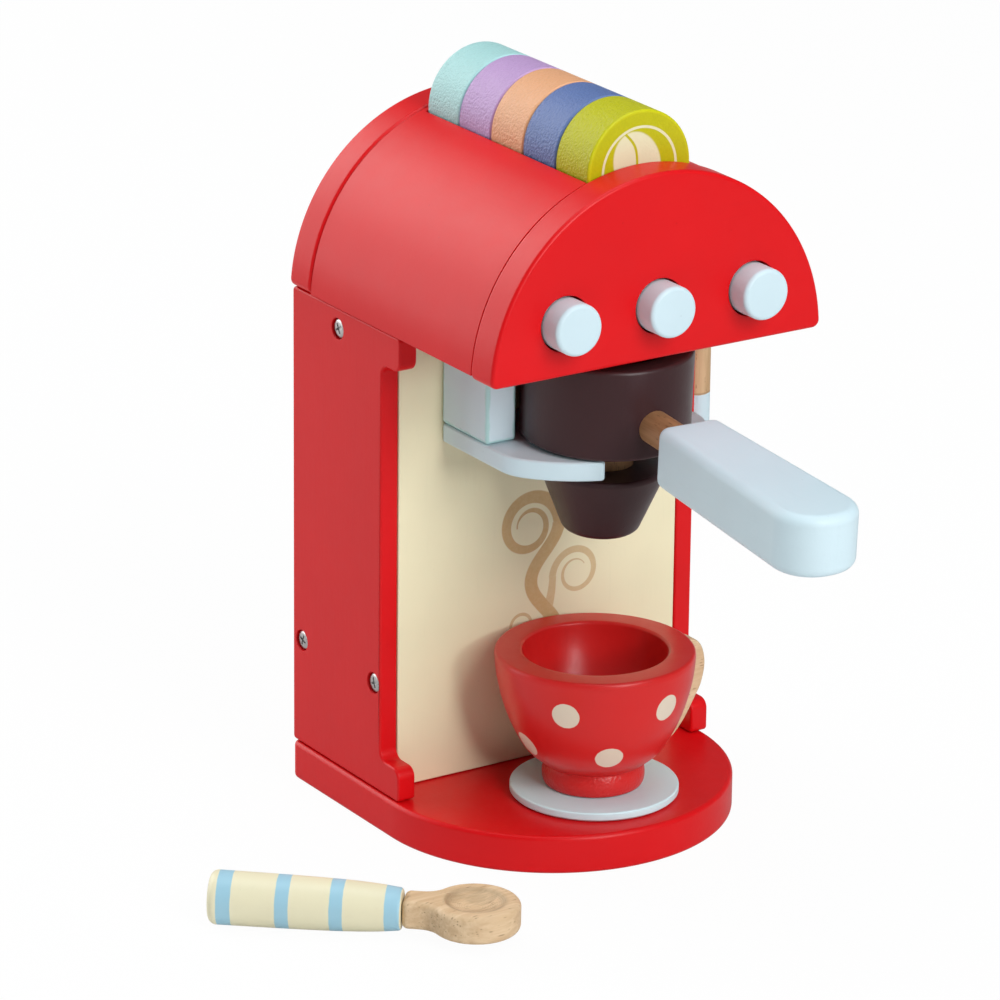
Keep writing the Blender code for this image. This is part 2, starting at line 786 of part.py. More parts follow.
# The spoon's tapered grip lies on the floor, so its axis dips towards the scoop
def make_spoon():
    drop = spoon_grip_radius * (1 - spoon_rest_share[0])
    dip = math.asin(drop / (spoon_grip_length * spoon_rest_share[1]))
    lie = empty("spoon_axis", (spoon_start_x, spoon_start_y, spoon_grip_radius / math.cos(dip)),
                (0, dip, spoon_heading))
    barrel = [(r * spoon_grip_radius, s * spoon_grip_length) for r, s in spoon_grip_shares]
    shoulder = (spoon_grip_radius - spoon_grip_rear_edge, spoon_grip_rear_edge)
    rear = arc(shoulder, spoon_grip_rear_edge, 0, -math.pi / 2, corner_steps)
    grip = turned("spoon_grip", [
        (0, spoon_grip_length - spoon_tenon - gap),
        (spoon_neck_half_width + gap, spoon_grip_length - spoon_tenon - gap),
        (spoon_neck_half_width + gap, spoon_grip_length),
        (barrel[0][0] - spoon_grip_front_edge, spoon_grip_length),
        *barrel,
        *rear,
        (0, 0),
    ], spoon_paint, coarse_steps, lie)
    grip.rotation_euler = (0, math.pi / 2, 0)

    # The neck widens into the scoop through two small arcs that touch both
    reach = spoon_scoop_radius + spoon_neck_flare
    rise = spoon_neck_half_width + spoon_neck_flare
    meet = math.asin(rise / reach)
    flare_x = spoon_scoop_centre - reach * math.cos(meet)
    disc = arc((spoon_scoop_centre, 0), spoon_scoop_radius, -math.pi + meet, math.pi - meet, scoop_steps)
    upper = arc((flare_x, rise), spoon_neck_flare, -meet, -math.pi / 2, corner_steps)
    lower = arc((flare_x, -rise), spoon_neck_flare, math.pi / 2, meet, corner_steps)
    start = spoon_grip_length + gap
    outline = [(start, -spoon_neck_half_width), *lower[:-1], *disc, *upper[1:], (start, spoon_neck_half_width)]
    half = spoon_scoop_thickness / 2
    scoop = board("spoon_scoop", outline, "z", -half, spoon_scoop_thickness, beech, lie)
    bevel(scoop, spoon_scoop_edge, 2)

    tenon_end = spoon_grip_length + spoon_tenon
    tenon_radius = half - spoon_scoop_edge / 2
    tenon = as_cutter(turned("scoop_tenon", [
        (0, tenon_end), (tenon_radius, tenon_end),
        (tenon_radius, spoon_grip_length - spoon_tenon), (0, spoon_grip_length - spoon_tenon),
    ], None, coarse_steps, lie))
    tenon.rotation_euler = (0, math.pi / 2, 0)
    join(scoop, tenon)

    ball = (spoon_bowl_radius ** 2 + spoon_bowl_depth ** 2) / (2 * spoon_bowl_depth)
    mesh = bpy.data.meshes.new("scoop_bowl")
    shape = bmesh.new()
    bmesh.ops.create_uvsphere(shape, u_segments=scoop_steps, v_segments=scoop_steps, radius=ball)
    shape.to_mesh(mesh)
    shape.free()
    bowl = as_cutter(add_object("scoop_bowl", mesh, None, lie))
    bowl.location = (spoon_scoop_centre, 0, half + ball - spoon_bowl_depth)
    cut(scoop, bowl)


make_base()
right_panel = make_body(make_screws())
make_hood()
make_trough()
make_capsules()
make_buttons()
make_fork()
make_portafilter()
make_cup()
make_wand(right_panel)
make_spoon()

# Turned pieces and rounded boards are shaded smooth, flat faces stay crisp
for item in part.objects:
    if item.type == "MESH":
        item.data.shade_smooth()
        item.data.set_sharp_from_angle(angle=math.radians(35))
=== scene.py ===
import json
import math

import bmesh
import bpy
from mathutils import Matrix, Vector


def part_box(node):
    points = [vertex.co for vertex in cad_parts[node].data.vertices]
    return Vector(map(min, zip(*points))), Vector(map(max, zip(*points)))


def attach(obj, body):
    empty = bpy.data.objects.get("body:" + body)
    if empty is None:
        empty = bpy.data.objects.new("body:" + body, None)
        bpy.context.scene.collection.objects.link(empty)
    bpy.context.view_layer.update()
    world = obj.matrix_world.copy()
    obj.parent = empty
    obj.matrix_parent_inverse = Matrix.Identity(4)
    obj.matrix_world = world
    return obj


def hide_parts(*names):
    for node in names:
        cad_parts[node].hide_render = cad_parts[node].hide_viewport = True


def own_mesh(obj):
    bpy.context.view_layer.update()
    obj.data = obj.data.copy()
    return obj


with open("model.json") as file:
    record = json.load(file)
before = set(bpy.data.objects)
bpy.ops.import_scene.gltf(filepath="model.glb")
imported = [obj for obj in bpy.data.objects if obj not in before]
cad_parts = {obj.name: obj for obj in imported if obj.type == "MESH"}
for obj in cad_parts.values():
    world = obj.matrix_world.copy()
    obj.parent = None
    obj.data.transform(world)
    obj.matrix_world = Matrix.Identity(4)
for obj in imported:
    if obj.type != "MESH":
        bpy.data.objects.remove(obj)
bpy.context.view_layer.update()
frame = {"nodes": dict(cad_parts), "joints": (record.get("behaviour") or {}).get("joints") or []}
nodes = frame["nodes"]
joints = {joint["name"]: joint for joint in frame["joints"]}
tiny = 0.0001  # how near a point must be to count as on a plane
overrun = 0.002  # how far a cutter stands out of what it cuts


# Selecting and editing

def clearSelection():
    for item in bpy.context.selected_objects:
        item.select_set(False)


def takeNew(name):  # names the primitive just added and puts its place into its mesh
    item = bpy.context.object
    item.name = name
    item.data.name = name
    bpy.ops.object.transform_apply(location=True, rotation=True, scale=True)
    return item


def startEdit(item):
    clearSelection()
    item.select_set(True)
    bpy.context.view_layer.objects.active = item
    bpy.ops.object.mode_set(mode="EDIT")
    bpy.ops.mesh.select_all(action="SELECT")


def endEdit():
    bpy.ops.object.mode_set(mode="OBJECT")


def choose(item, kind, test, along=None):  # selects points, edges or faces whose corners all pass the test
    bpy.context.tool_settings.mesh_select_mode = tuple(kind == k for k in ("verts", "edges", "faces"))
    bpy.ops.mesh.select_all(action="DESELECT")
    shape = bmesh.from_edit_mesh(item.data)
    for part in getattr(shape, kind):
        corners = [part.co] if kind == "verts" else [corner.co for corner in part.verts]
        chosen = all(test(corner) for corner in corners)
        if chosen and along:  # edges that run along one axis
            step = corners[1] - corners[0]
            chosen = abs(step["xyz".index(along)]) > 0.9 * step.length
        part.select_set(chosen)
    bmesh.update_edit_mesh(item.data)


def near(value, target):
    return abs(value - target) < tiny


def trim(point, direction):  # cuts what is selected at a plane and drops what lies beyond it
    bpy.ops.mesh.bisect(plane_co=point, plane_no=direction, use_fill=False, clear_outer=True)
    bpy.ops.mesh.select_all(action="SELECT")


def score(point, direction):  # cuts at a plane and keeps both sides
    bpy.ops.mesh.bisect(plane_co=point, plane_no=direction, use_fill=False)
    bpy.ops.mesh.select_all(action="SELECT")


def pull(offset):
    bpy.ops.mesh.extrude_region_move(TRANSFORM_OT_translate={"value": offset})


def roundCorners(radius, steps=8):
    bpy.ops.mesh.bevel(offset=radius, segments=steps, affect="VERTICES")


def mergeClose():  # points that fall together would stop a bevel
    bpy.ops.mesh.select_all(action="SELECT")
    bpy.ops.mesh.remove_doubles(threshold=0.00002)


def thicken(item, offset):  # gives a flat outline its thickness
    mergeClose()
    pull(offset)
    bpy.ops.mesh.select_all(action="SELECT")
    bpy.ops.mesh.normals_make_consistent(inside=False)


# Modifiers that are applied at once

def applyModifier(item, kind, **settings):
    clearSelection()
    item.select_set(True)
    bpy.context.view_layer.objects.active = item
    made = item.modifiers.new("shaping", kind)
    for key, value in settings.items():
        setattr(made, key, value)
    bpy.ops.object.modifier_apply(modifier=made.name)


def cutWith(item, cutter, keepCutter=False):
    applyModifier(item, "BOOLEAN", object=cutter, operation="DIFFERENCE", solver="EXACT")
    if not keepCutter:
        bpy.data.objects.remove(cutter)


def softenEdges(item, width, steps=4, limit=38):
    applyModifier(item, "BEVEL", width=width, segments=steps, limit_method="ANGLE",
                  angle_limit=math.radians(limit), use_clamp_overlap=True, harden_normals=False)


def smoothShade(item, limit=32):
    clearSelection()
    item.select_set(True)
    bpy.context.view_layer.objects.active = item
    bpy.ops.object.shade_smooth_by_angle(angle=math.radians(limit))


def moveBy(item, matrix):
    clearSelection()
    item.select_set(True)
    bpy.context.view_layer.objects.active = item
    item.matrix_world = matrix
    bpy.ops.object.transform_apply(location=True, rotation=True, scale=True)


def finishPiece(item, body, material, replaced=(), smooth=32):
    smoothShade(item, smooth)
    applyModifier(item, "WEIGHTED_NORMAL", mode="FACE_AREA", weight=50, keep_sharp=True)
    item.data.materials.clear()
    item.data.materials.append(material)
    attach(item, body)
    if replaced:
        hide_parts(*replaced)
    return item


# A turned piece: a filled circle whose face is drawn along the profile, (radius, height) from its foot on
def turn(name, profile, steps=96):
    radius, height = profile[0]
    bpy.ops.mesh.primitive_circle_add(vertices=steps, radius=radius, fill_type="NGON", location=(0, 0, height))
    item = takeNew(name)
    startEdit(item)
    for nextRadius, nextHeight in profile[1:]:
        pull((0, 0, nextHeight - height))
        ratio = nextRadius / radius
        bpy.ops.transform.resize(value=(ratio, ratio, 1), center_override=(0, 0, nextHeight))
        radius, height = nextRadius, nextHeight
    bpy.ops.mesh.select_all(action="SELECT")
    bpy.ops.mesh.normals_make_consistent(inside=False)
    endEdit()
    return item


def arcPoints(centre, radius, start, end, steps):
    angles = [math.radians(start + (end - start) * i / steps) for i in range(steps + 1)]
    return [(centre[0] + radius * math.cos(a), centre[1] + radius * math.sin(a)) for a in angles]


def smoothPath(points, steps=3):  # a curve through the points
    padded = [points[0], *points, points[-1]]
    path = []
    for a, b, c, d in zip(padded, padded[1:], padded[2:], padded[3:]):
        for i in range(steps):
            t = i / steps
            path.append(tuple(
                0.5 * (2 * q + (r - p) * t + (2 * p - 5 * q + 4 * r - s) * t * t + (3 * q - p - 3 * r + s) * t ** 3)
                for p, q, r, s in zip(a, b, c, d)))
    return [*path, points[-1]]


facing = Matrix.Rotation(math.pi / 2, 4, "X")  # turns +Z to the front


def boxPiece(name, low, high):
    middle = (Vector(high) + Vector(low)) / 2
    bpy.ops.mesh.primitive_cube_add(size=1, location=middle)
    bpy.ops.transform.resize(value=Vector(high) - Vector(low), center_override=middle)
    return takeNew(name)


def sheet(name, middle, turned, size):  # a flat rectangle
    bpy.ops.mesh.primitive_plane_add(size=1, location=middle, rotation=turned)
    bpy.ops.transform.resize(value=size, center_override=middle)
    return takeNew(name)


# Camera, fitted to the photograph

camera = {
    "place": (-1.1307, -1.7027, 0.8579),
    "azimuth": -33.023,
    "elevation": 19.813,
    "roll": 0.642,
    "lens": 208.424,
    "sensor": 36,
}


def makeCamera():
    azimuth, elevation, roll = (math.radians(camera[key]) for key in ("azimuth", "elevation", "roll"))
    look = Vector((-math.sin(azimuth) * math.cos(elevation), math.cos(azimuth) * math.cos(elevation),
                   -math.sin(elevation)))
    level = Vector((math.cos(azimuth), math.sin(azimuth), 0))
    upright = level.cross(look)
    right = level * math.cos(roll) + upright * math.sin(roll)
    up = upright * math.cos(roll) - level * math.sin(roll)
    turned = Matrix((right, up, -look)).transposed().to_4x4()
    bpy.ops.object.camera_add()
    item = bpy.context.object
    item.name = "camera"
    item.matrix_world = Matrix.Translation(camera["place"]) @ turned
    item.data.lens = camera["lens"]
    item.data.sensor_width = camera["sensor"]
    item.data.clip_start = 0.1
    item.data.clip_end = 50
    bpy.context.scene.camera = item


# Shader maths

class Wire:  # one output socket, with the operators that add Math nodes
    def __init__(self, kit, socket):
        self.kit = kit
        self.socket = socket

    def __add__(self, other):
        return self.kit.math("ADD", self, other)

    def __sub__(self, other):
        return self.kit.math("SUBTRACT", self, other)

    def __rsub__(self, other):
        return self.kit.math("SUBTRACT", other, self)

    def __mul__(self, other):
        return self.kit.math("MULTIPLY", self, other)

    def __truediv__(self, other):
        return self.kit.math("DIVIDE", self, other)

    def __pow__(self, other):
        return self.kit.math("POWER", self, other)

    __radd__ = __add__
    __rmul__ = __mul__


class Finish:  # one material and its node tree
    def __init__(self, name):
        self.material = bpy.data.materials.new(name)
        self.material.use_nodes = True
        self.tree = self.material.node_tree
        self.tree.nodes.clear()
        self.shader = self.node("ShaderNodeBsdfPrincipled")
        self.output = self.node("ShaderNodeOutputMaterial")
        self.tree.links.new(self.shader.outputs[0], self.output.inputs["Surface"])
        self.place = Wire(self, self.node("ShaderNodeTexCoord").outputs["Object"])
        split = self.node("ShaderNodeSeparateXYZ", {}, Vector=self.place)
        self.x, self.y, self.z = (Wire(self, split.outputs[axis]) for axis in "XYZ")

    def node(self, kind, settings=None, **sockets):
        made = self.tree.nodes.new(kind)
        for key, value in (settings or {}).items():
            if key == "stops":
                self.setStops(made.color_ramp, value)
            else:
                setattr(made, key, value)
        for name, value in sockets.items():
            self.feed(made.inputs[name.replace("_", " ")], value)
        return made

    def setStops(self, ramp, stops):
        while len(ramp.elements) < len(stops):
            ramp.elements.new(0.5)
        for element, (position, colour) in zip(ramp.elements, stops):
            element.position = position
            element.color = (*colour, 1)

    def feed(self, socket, value):
        if isinstance(value, Wire):
            self.tree.links.new(value.socket, socket)
        elif isinstance(value, (tuple, list)) and len(value) == 3 and socket.type == "RGBA":
            socket.default_value = (*value, 1)
        else:
            socket.default_value = value

    def math(self, operation, *values, clamp=False):
        made = self.node("ShaderNodeMath", {"operation": operation, "use_clamp": clamp})
        for socket, value in zip(made.inputs, values):
            self.feed(socket, value)
        return Wire(self, made.outputs[0])

    def least(self, a, b):
        return self.math("MINIMUM", a, b)

    def most(self, a, b):
        return self.math("MAXIMUM", a, b)

    def size(self, a):
        return self.math("ABSOLUTE", a)

    def rootOfSum(self, *values):  # distance from its parts
        total = values[0] * values[0]
        for value in values[1:]:
            total = total + value * value
        return self.math("SQRT", total)

    def step(self, value, low, high):  # 0 under low, 1 over high, smooth between
        made = self.node("ShaderNodeMapRange", {"interpolation_type": "SMOOTHSTEP"},
                         Value=value, From_Min=low, From_Max=high)
        return Wire(self, made.outputs["Result"])

    def mix(self, amount, a, b):  # colours
        made = self.node("ShaderNodeMix", {"data_type": "RGBA"})
        self.feed(made.inputs["Factor"], amount)
        self.feed(made.inputs[6], a)
        self.feed(made.inputs[7], b)
        return Wire(self, made.outputs[2])

    def stretched(self, scale, centre=(0, 0, 0), turned=(0, 0, 0)):
        made = self.node("ShaderNodeMapping", {"vector_type": "POINT"}, Vector=self.place, Scale=scale,
                         Location=centre, Rotation=turned)
        return Wire(self, made.outputs[0])

    def noise(self, scale, detail=2.0, roughness=0.5, vector=None, distortion=0.0):
        made = self.node("ShaderNodeTexNoise", {}, Vector=vector or self.place, Scale=scale, Detail=detail,
                         Roughness=roughness, Distortion=distortion)
        return Wire(self, made.outputs["Fac"])

    def cells(self, scale, vector=None, randomness=1.0):
        made = self.node("ShaderNodeTexVoronoi", {"feature": "F1"}, Vector=vector or self.place, Scale=scale,
                         Randomness=randomness)
        return Wire(self, made.outputs["Distance"])

    def awayFrom(self, point):  # distance from a point
        made = self.node("ShaderNodeVectorMath", {"operation": "DISTANCE"})
        self.feed(made.inputs[0], self.place)
        self.feed(made.inputs[1], tuple(point))
        return Wire(self, made.outputs["Value"])

    def along(self, point, direction):  # how far along a direction from a point
        made = self.node("ShaderNodeVectorMath", {"operation": "DOT_PRODUCT"})
        self.feed(made.inputs[0], self.place)
        self.feed(made.inputs[1], tuple(direction))
        return Wire(self, made.outputs["Value"]) - Vector(point).dot(Vector(direction))

    def within(self, value, low, high, soft=0.0001):  # 1 between low and high
        return self.step(value, low - soft, low + soft) * (1 - self.step(value, high - soft, high + soft))

    def relief(self, height, distance, strength=1.0):
        made = self.node("ShaderNodeBump", {}, Height=height, Distance=distance, Strength=strength)
        self.feed(self.shader.inputs["Normal"], Wire(self, made.outputs["Normal"]))

    def surface(self, **sockets):
        for name, value in sockets.items():
            self.feed(self.shader.inputs[name.replace("_", " ")], value)


def scaled(colour, amount):
    return tuple(min(1, channel * amount) for channel in colour)


# Painted wood: even satin paint with faint mottling, fine peel and the grain just showing through
paints = {
    "red": {"colour": (0.715, 0.004, 0.007), "rough": 0.35, "peel": 0.5, "grain": 0.5, "gloss": 0.25},
    "cupRed": {"colour": (0.700, 0.014, 0.013), "rough": 0.33, "peel": 0.5, "grain": 0.3, "gloss": 0.46},
    "cream": {"colour": (0.875, 0.818, 0.560), "rough": 0.48, "peel": 0.4, "grain": 0.6, "gloss": 0.35},
    "paleBlue": {"colour": (0.625, 0.775, 0.835), "rough": 0.42, "peel": 0.6, "grain": 0.5, "gloss": 0.45},
    "coaster": {"colour": (0.690, 0.930, 1.000), "rough": 0.44, "peel": 0.5, "grain": 0.4, "gloss": 0.45},
    "brown": {"colour": (0.050, 0.019, 0.021), "rough": 0.36, "peel": 0.6, "grain": 0.4, "gloss": 0.38},
    "spoonCream": {"colour": (0.840, 0.780, 0.545), "rough": 0.40, "peel": 0.5, "grain": 0.6, "gloss": 0.45},
    "aqua": {"colour": (0.390, 0.670, 0.660), "rough": 0.48, "peel": 0.5, "grain": 0.6, "gloss": 0.70},
    "lilac": {"colour": (0.490, 0.300, 0.570), "rough": 0.48, "peel": 0.5, "grain": 0.6, "gloss": 0.70},
    "orange": {"colour": (0.770, 0.370, 0.180), "rough": 0.48, "peel": 0.5, "grain": 0.6, "gloss": 0.70},
    "blue": {"colour": (0.090, 0.155, 0.380), "rough": 0.48, "peel": 0.5, "grain": 0.6, "gloss": 0.70},
    "lime": {"colour": (0.500, 0.490, 0.001), "rough": 0.46, "peel": 0.5, "grain": 0.6, "gloss": 0.30},
}


def paintBase(finish, look, grainAxis="z", bumps=None):  # returns the colour; sets roughness and relief
    along = {"x": (40, 500, 500), "y": (500, 40, 500), "z": (500, 500, 40)}[grainAxis]
    mottle = finish.noise(28, 3)
    haze = finish.noise(140, 2)
    peel = finish.noise(520, 3, 0.55)
    grain = finish.noise(1, 3, 0.6, finish.stretched(along))
    speck = 1 - finish.step(finish.cells(230), 0.05, 0.11)
    speck = speck * finish.step(finish.noise(90, 1), 0.60, 0.66)
    colour = finish.mix(mottle, scaled(look["colour"], 0.94), scaled(look["colour"], 1.05))
    colour = finish.mix(finish.step(grain, 0.58, 0.75) * 0.10, colour, scaled(look["colour"], 0.82))
    colour = finish.mix(speck * 0.22, colour, scaled(look["colour"], 0.6))
    finish.surface(Roughness=look["rough"] + (haze - 0.5) * 0.12 + (peel - 0.5) * 0.08)
    height = peel * look["peel"] + grain * look["grain"] + speck * 0.5
    if bumps:
        height = height + bumps
    finish.relief(height, 0.00006)
    finish.surface(Specular_IOR_Level=look["gloss"])
    return colour


def paintMaterial(name, look, grainAxis="z"):
    finish = Finish(name)
    finish.surface(Base_Color=paintBase(finish, look, grainAxis))
    return finish.material


# Pale-blue boards with the greener undercoat showing thinly along their edges
edgeTint = {"colour": (0.360, 0.640, 0.610), "width": 0.0014, "strength": 0.75}


def edgedMaterial(name, nodeName, grainAxis):
    finish = Finish(name)
    colour = paintBase(finish, paints["paleBlue"], grainAxis)
    low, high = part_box(nodeName)
    reach = [finish.least(finish.size(axis - a), finish.size(axis - b))
             for axis, a, b in zip((finish.x, finish.y, finish.z), low, high)]
    smaller, larger = finish.least(reach[0], reach[1]), finish.most(reach[0], reach[1])
    second = finish.most(smaller, finish.least(larger, reach[2]))
    patchy = finish.noise(160, 2) * edgeTint["width"] * 1.2
    tint = 1 - finish.step(second - patchy, 0, edgeTint["width"] * 0.7)
    finish.surface(Base_Color=finish.mix(tint * edgeTint["strength"], colour, edgeTint["colour"]))
    return finish.material


# Cup: red with two rows of cream dots, given by angle about the cup's axis
cupDots = {
    "colour": (0.790, 0.670, 0.530), "radius": 0.0053, "axisY": -0.0296, "bumpyTop": 0.0285,
    "rows": [
        {"height": 0.0583, "reach": 0.0358, "angles": (147.5, -141, -76, -0.3, 75.4)},
        {"height": 0.0395, "reach": 0.0294, "angles": (179, -112.5, -39.6, 33.3, 106.1)},
    ],
}


def dottedMaterial(name):
    finish = Finish(name)
    foot = 1 - finish.step(finish.z, cupDots["bumpyTop"] - 0.002, cupDots["bumpyTop"])
    colour = paintBase(finish, paints["cupRed"], "z", finish.noise(900, 2) * foot * 5)
    nearest = None
    for row in cupDots["rows"]:
        for angle in row["angles"]:
            turned = math.radians(angle)
            away = finish.awayFrom((row["reach"] * math.cos(turned),
                                    cupDots["axisY"] + row["reach"] * math.sin(turned), row["height"]))
            nearest = away if nearest is None else finish.least(nearest, away)
    rim = cupDots["radius"] + (finish.noise(700, 2) - 0.5) * 0.0003
    dot = 1 - finish.step(nearest - rim, -0.00012, 0.00012)
    finish.surface(Base_Color=finish.mix(dot, colour, cupDots["colour"]))
    return finish.material


# Front panel: drifting steam, drawn as two log spirals on waving stems and one small curl
steam = {
    "colour": (0.560, 0.330, 0.105),
    "spirals": [
        {"centre": (-0.0046, 0.1088), "hand": 1, "radius": 0.0135, "close": 0.100, "width": 0.42, "end": 9.4,
         "strength": 0.76},
        {"centre": (0.0170, 0.0868), "hand": -1, "radius": 0.0106, "close": 0.095, "width": 0.30, "end": 8.8,
         "strength": 0.56},
    ],
    "stems": [
        {"middle": 0.00275, "swing": 0.00615, "top": 0.1088, "half": 0.0224, "width": 0.0057, "strength": 0.76},
        {"middle": 0.0048, "swing": 0.0016, "top": 0.0868, "half": 0.0230, "width": 0.0031, "strength": 0.56},
    ],
    "curl": {"centre": (-0.0077, 0.0696), "radius": 0.0046, "width": 0.0013, "strength": 0.6},
}


def spiralMask(finish, look):
    across = (finish.x - look["centre"][0]) * look["hand"]
    rise = finish.z - look["centre"][1]
    reach = finish.rootOfSum(across, rise)
    bearing = finish.math("ARCTAN2", rise, across)
    turned = finish.math("LOGARITHM", reach / look["radius"], math.e) * (-1 / look["close"])
    off = finish.math("WRAP", turned - bearing, math.pi, -math.pi)
    taper = 1 - finish.step(turned, look["end"] * 0.50, look["end"]) * 0.75
    arm = finish.size(off) * reach * look["close"] / (reach * look["width"] * taper * 0.5)
    began = turned - off
    return (1 - finish.step(arm, 0.90, 1.10)) * finish.within(began, -0.02, look["end"], 0.03)


def stemMask(finish, look):
    phase = (look["top"] - finish.z) * (math.pi / look["half"])
    line = finish.math("COSINE", phase) * look["swing"] + look["middle"]
    lean = finish.math("SINE", phase)
    wide = (lean * lean * 0.28 + 1) * (look["width"] / 2)
    side = finish.size(finish.x - line) / wide
    return (1 - finish.step(side, 0.92, 1.08)) * (1 - finish.step(finish.z, look["top"] - 0.0001, look["top"]))


def printedPanel(name):
    finish = Finish(name)
    colour = paintBase(finish, paints["cream"])
    curl = steam["curl"]
    ring = finish.rootOfSum(finish.x - curl["centre"][0], finish.z - curl["centre"][1]) - curl["radius"]
    printed = (1 - finish.step(finish.size(ring), curl["width"] * 0.45, curl["width"] * 0.55)) * curl["strength"]
    for look in steam["spirals"]:
        printed = finish.most(printed, spiralMask(finish, look) * look["strength"])
    for look in steam["stems"]:
        printed = finish.most(printed, stemMask(finish, look) * look["strength"])
    front = 1 - finish.step(finish.y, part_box("front_panel")[0].y + 0.0002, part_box("front_panel")[0].y + 0.0006)
    ink = 0.86 + finish.noise(900, 2) * 0.28
    finish.surface(Base_Color=finish.mix(printed * front * ink, colour, steam["colour"]))
    return finish.material


# Capsules: coarse orange peel on the sides, a smoother face, painted glints that lighten the peel's bumps, and a
# painted highlight as a paler rim round the face
capsulePaint = {"peelScale": 1050, "peel": 9.0, "rim": 0.0014, "paintedRimHighlight": 1.25}
beanPrint = {"colour": (0.800, 0.790, 0.560), "ring": 0.0158, "ringWidth": 0.0010, "lean": 24, "long": 0.0125,
             "short": 0.0098, "lift": 0.0025, "crease": 0.0006}


def capsuleMaterial(label):
    finish = Finish(f"{label}Paint")
    look = paints[label]
    low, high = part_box(f"capsule_{label}")
    centre = (low + high) / 2
    faced = 1 - finish.step(finish.y, low.y + 0.0002, low.y + 0.0011)
    bumps = finish.noise(capsulePaint["peelScale"], 2, 0.5) * (1 - faced * 0.75) * capsulePaint["peel"]
    colour = paintBase(finish, look, "y", bumps)
    # painted glints: the peel's raised bumps get a lighter colour
    paintedPeelGlint = finish.noise(capsulePaint["peelScale"], 2, 0.5)
    colour = finish.mix(finish.step(paintedPeelGlint, 0.35, 0.6) * 0.25, colour, scaled(look["colour"], 1.18))
    # painted highlight: a paler ring along the face's rounded edge, made patchy by noise
    away = finish.rootOfSum(finish.x, finish.z - centre.z)
    radius = (high.x - low.x) / 2
    rim = finish.step(away, radius - capsulePaint["rim"], radius - capsulePaint["rim"] * 0.6)
    patchy = finish.noise(240, 2) * 0.5 + 0.4
    colour = finish.mix(rim * faced * patchy, colour, scaled(look["colour"], capsulePaint["paintedRimHighlight"]))
    if label == "lime":
        colour = printBean(finish, colour, centre.z, faced)
    finish.surface(Base_Color=colour)
    return finish.material


def printBean(finish, colour, height, faced):
    look = beanPrint
    up = finish.z - height
    ring = finish.size(finish.rootOfSum(finish.x, up) - look["ring"])
    printed = 1 - finish.step(ring, look["ringWidth"] * 0.4, look["ringWidth"] * 0.6)
    lean = math.radians(look["lean"])
    across = finish.x * math.cos(lean) + up * math.sin(lean)
    rise = up * math.cos(lean) - finish.x * math.sin(lean) - look["lift"]
    inside = finish.rootOfSum(across / look["short"], rise / look["long"])
    crease = finish.size(across - finish.math("SINE", rise * (math.pi / look["long"])) * 0.0016)
    bean = (1 - finish.step(inside, 0.96, 1.04)) * finish.step(crease, look["crease"] * 0.7, look["crease"])
    return finish.mix(finish.most(printed, bean) * faced * 0.9, colour, look["colour"])


# Bare beech: fine straight grain with short brown flecks
beechLook = {
    "light": (0.640, 0.430, 0.240),
    "dark": (0.470, 0.280, 0.130),
    "fleck": (0.230, 0.110, 0.045),
    "rough": 0.58,
    "flecks": 0.6,
}
darkBeech = {**beechLook, "light": (0.430, 0.225, 0.100), "dark": (0.290, 0.135, 0.055), "fleck": (0.12, 0.05, 0.02)}
paleBeech = {**beechLook, "light": (0.760, 0.560, 0.350), "dark": (0.600, 0.400, 0.220), "flecks": 0.55}


def beechColour(finish, look, grainAxis, turned=(0, 0, 0)):  # returns the colour; sets roughness and relief
    streak = {"x": (30, 420, 420), "y": (420, 30, 420), "z": (420, 420, 30)}[grainAxis]
    dash = {"x": (170, 900, 900), "y": (900, 170, 900), "z": (900, 900, 170)}[grainAxis]
    grain = finish.noise(1, 4, 0.6, finish.stretched(streak, turned=turned), 0.3)
    broad = finish.noise(60, 2)
    fleck = 1 - finish.step(finish.cells(1, finish.stretched(dash, turned=turned)), 0.14, 0.34)
    spotty = finish.step(finish.noise(350, 2), 0.46, 0.60)
    colour = finish.mix(finish.step(grain, 0.3, 0.72), look["dark"], look["light"])
    colour = finish.mix(broad * 0.35, colour, scaled(look["light"], 1.12))
    colour = finish.mix(fleck * spotty * look["flecks"], colour, look["fleck"])
    finish.surface(Roughness=look["rough"] + (grain - 0.5) * 0.2)
    finish.relief(grain - fleck * 0.5, 0.00009)
    return colour


def beechMaterial(name, grainAxis, look=beechLook):
    finish = Finish(name)
    finish.surface(Base_Color=beechColour(finish, look, grainAxis))
    return finish.material


def wandMaterial(name):  # bare wood above, pale blue paint below a hand-dipped line
    finish = Finish(name)
    wood = beechColour(finish, beechLook, "z")
    line = wandLook["paintTop"] + (finish.noise(260, 2) - 0.5) * 0.0006
    bare = finish.step(finish.z - line, -0.0002, 0.0002)
    paint = finish.mix(finish.noise(40, 2), scaled(paints["paleBlue"]["colour"], 0.93), paints["paleBlue"]["colour"])
    paintedShadeLine = finish.within(finish.z - line, 0.0001, 0.0007, 0.0003)  # painted shade: a darker line along the edge of the paint
    wood = finish.mix(paintedShadeLine * 0.5, wood, beechLook["fleck"])
    finish.surface(Base_Color=finish.mix(bare, paint, wood))
    return finish.material


# Spoon: cream grip with four pale-blue bands, and a pale scoop with turning marks in its bowl

wandLook = {"edge": 0.0017, "paintTop": 0.1461}
spoonLook = {"startX": -0.16796, "startY": -0.03135, "heading": -39.5, "gripLength": 0.0706, "radius": 0.0100,
             "rearEdge": 0.003, "frontEdge": 0.0013, "neckHalf": 0.0064, "neckFlare": 0.008,
             "scoopCentre": 0.0971, "scoopRadius": 0.0165, "scoopThickness": 0.0111, "scoopEdge": 0.0023,
             "bowlRadius": 0.0115, "bowlDepth": 0.003, "restShare": (0.960, 0.600)}
gripShares = [(0.986, 0.350), (0.960, 0.600), (0.925, 0.750), (0.868, 0.880), (0.790, 0.981)]


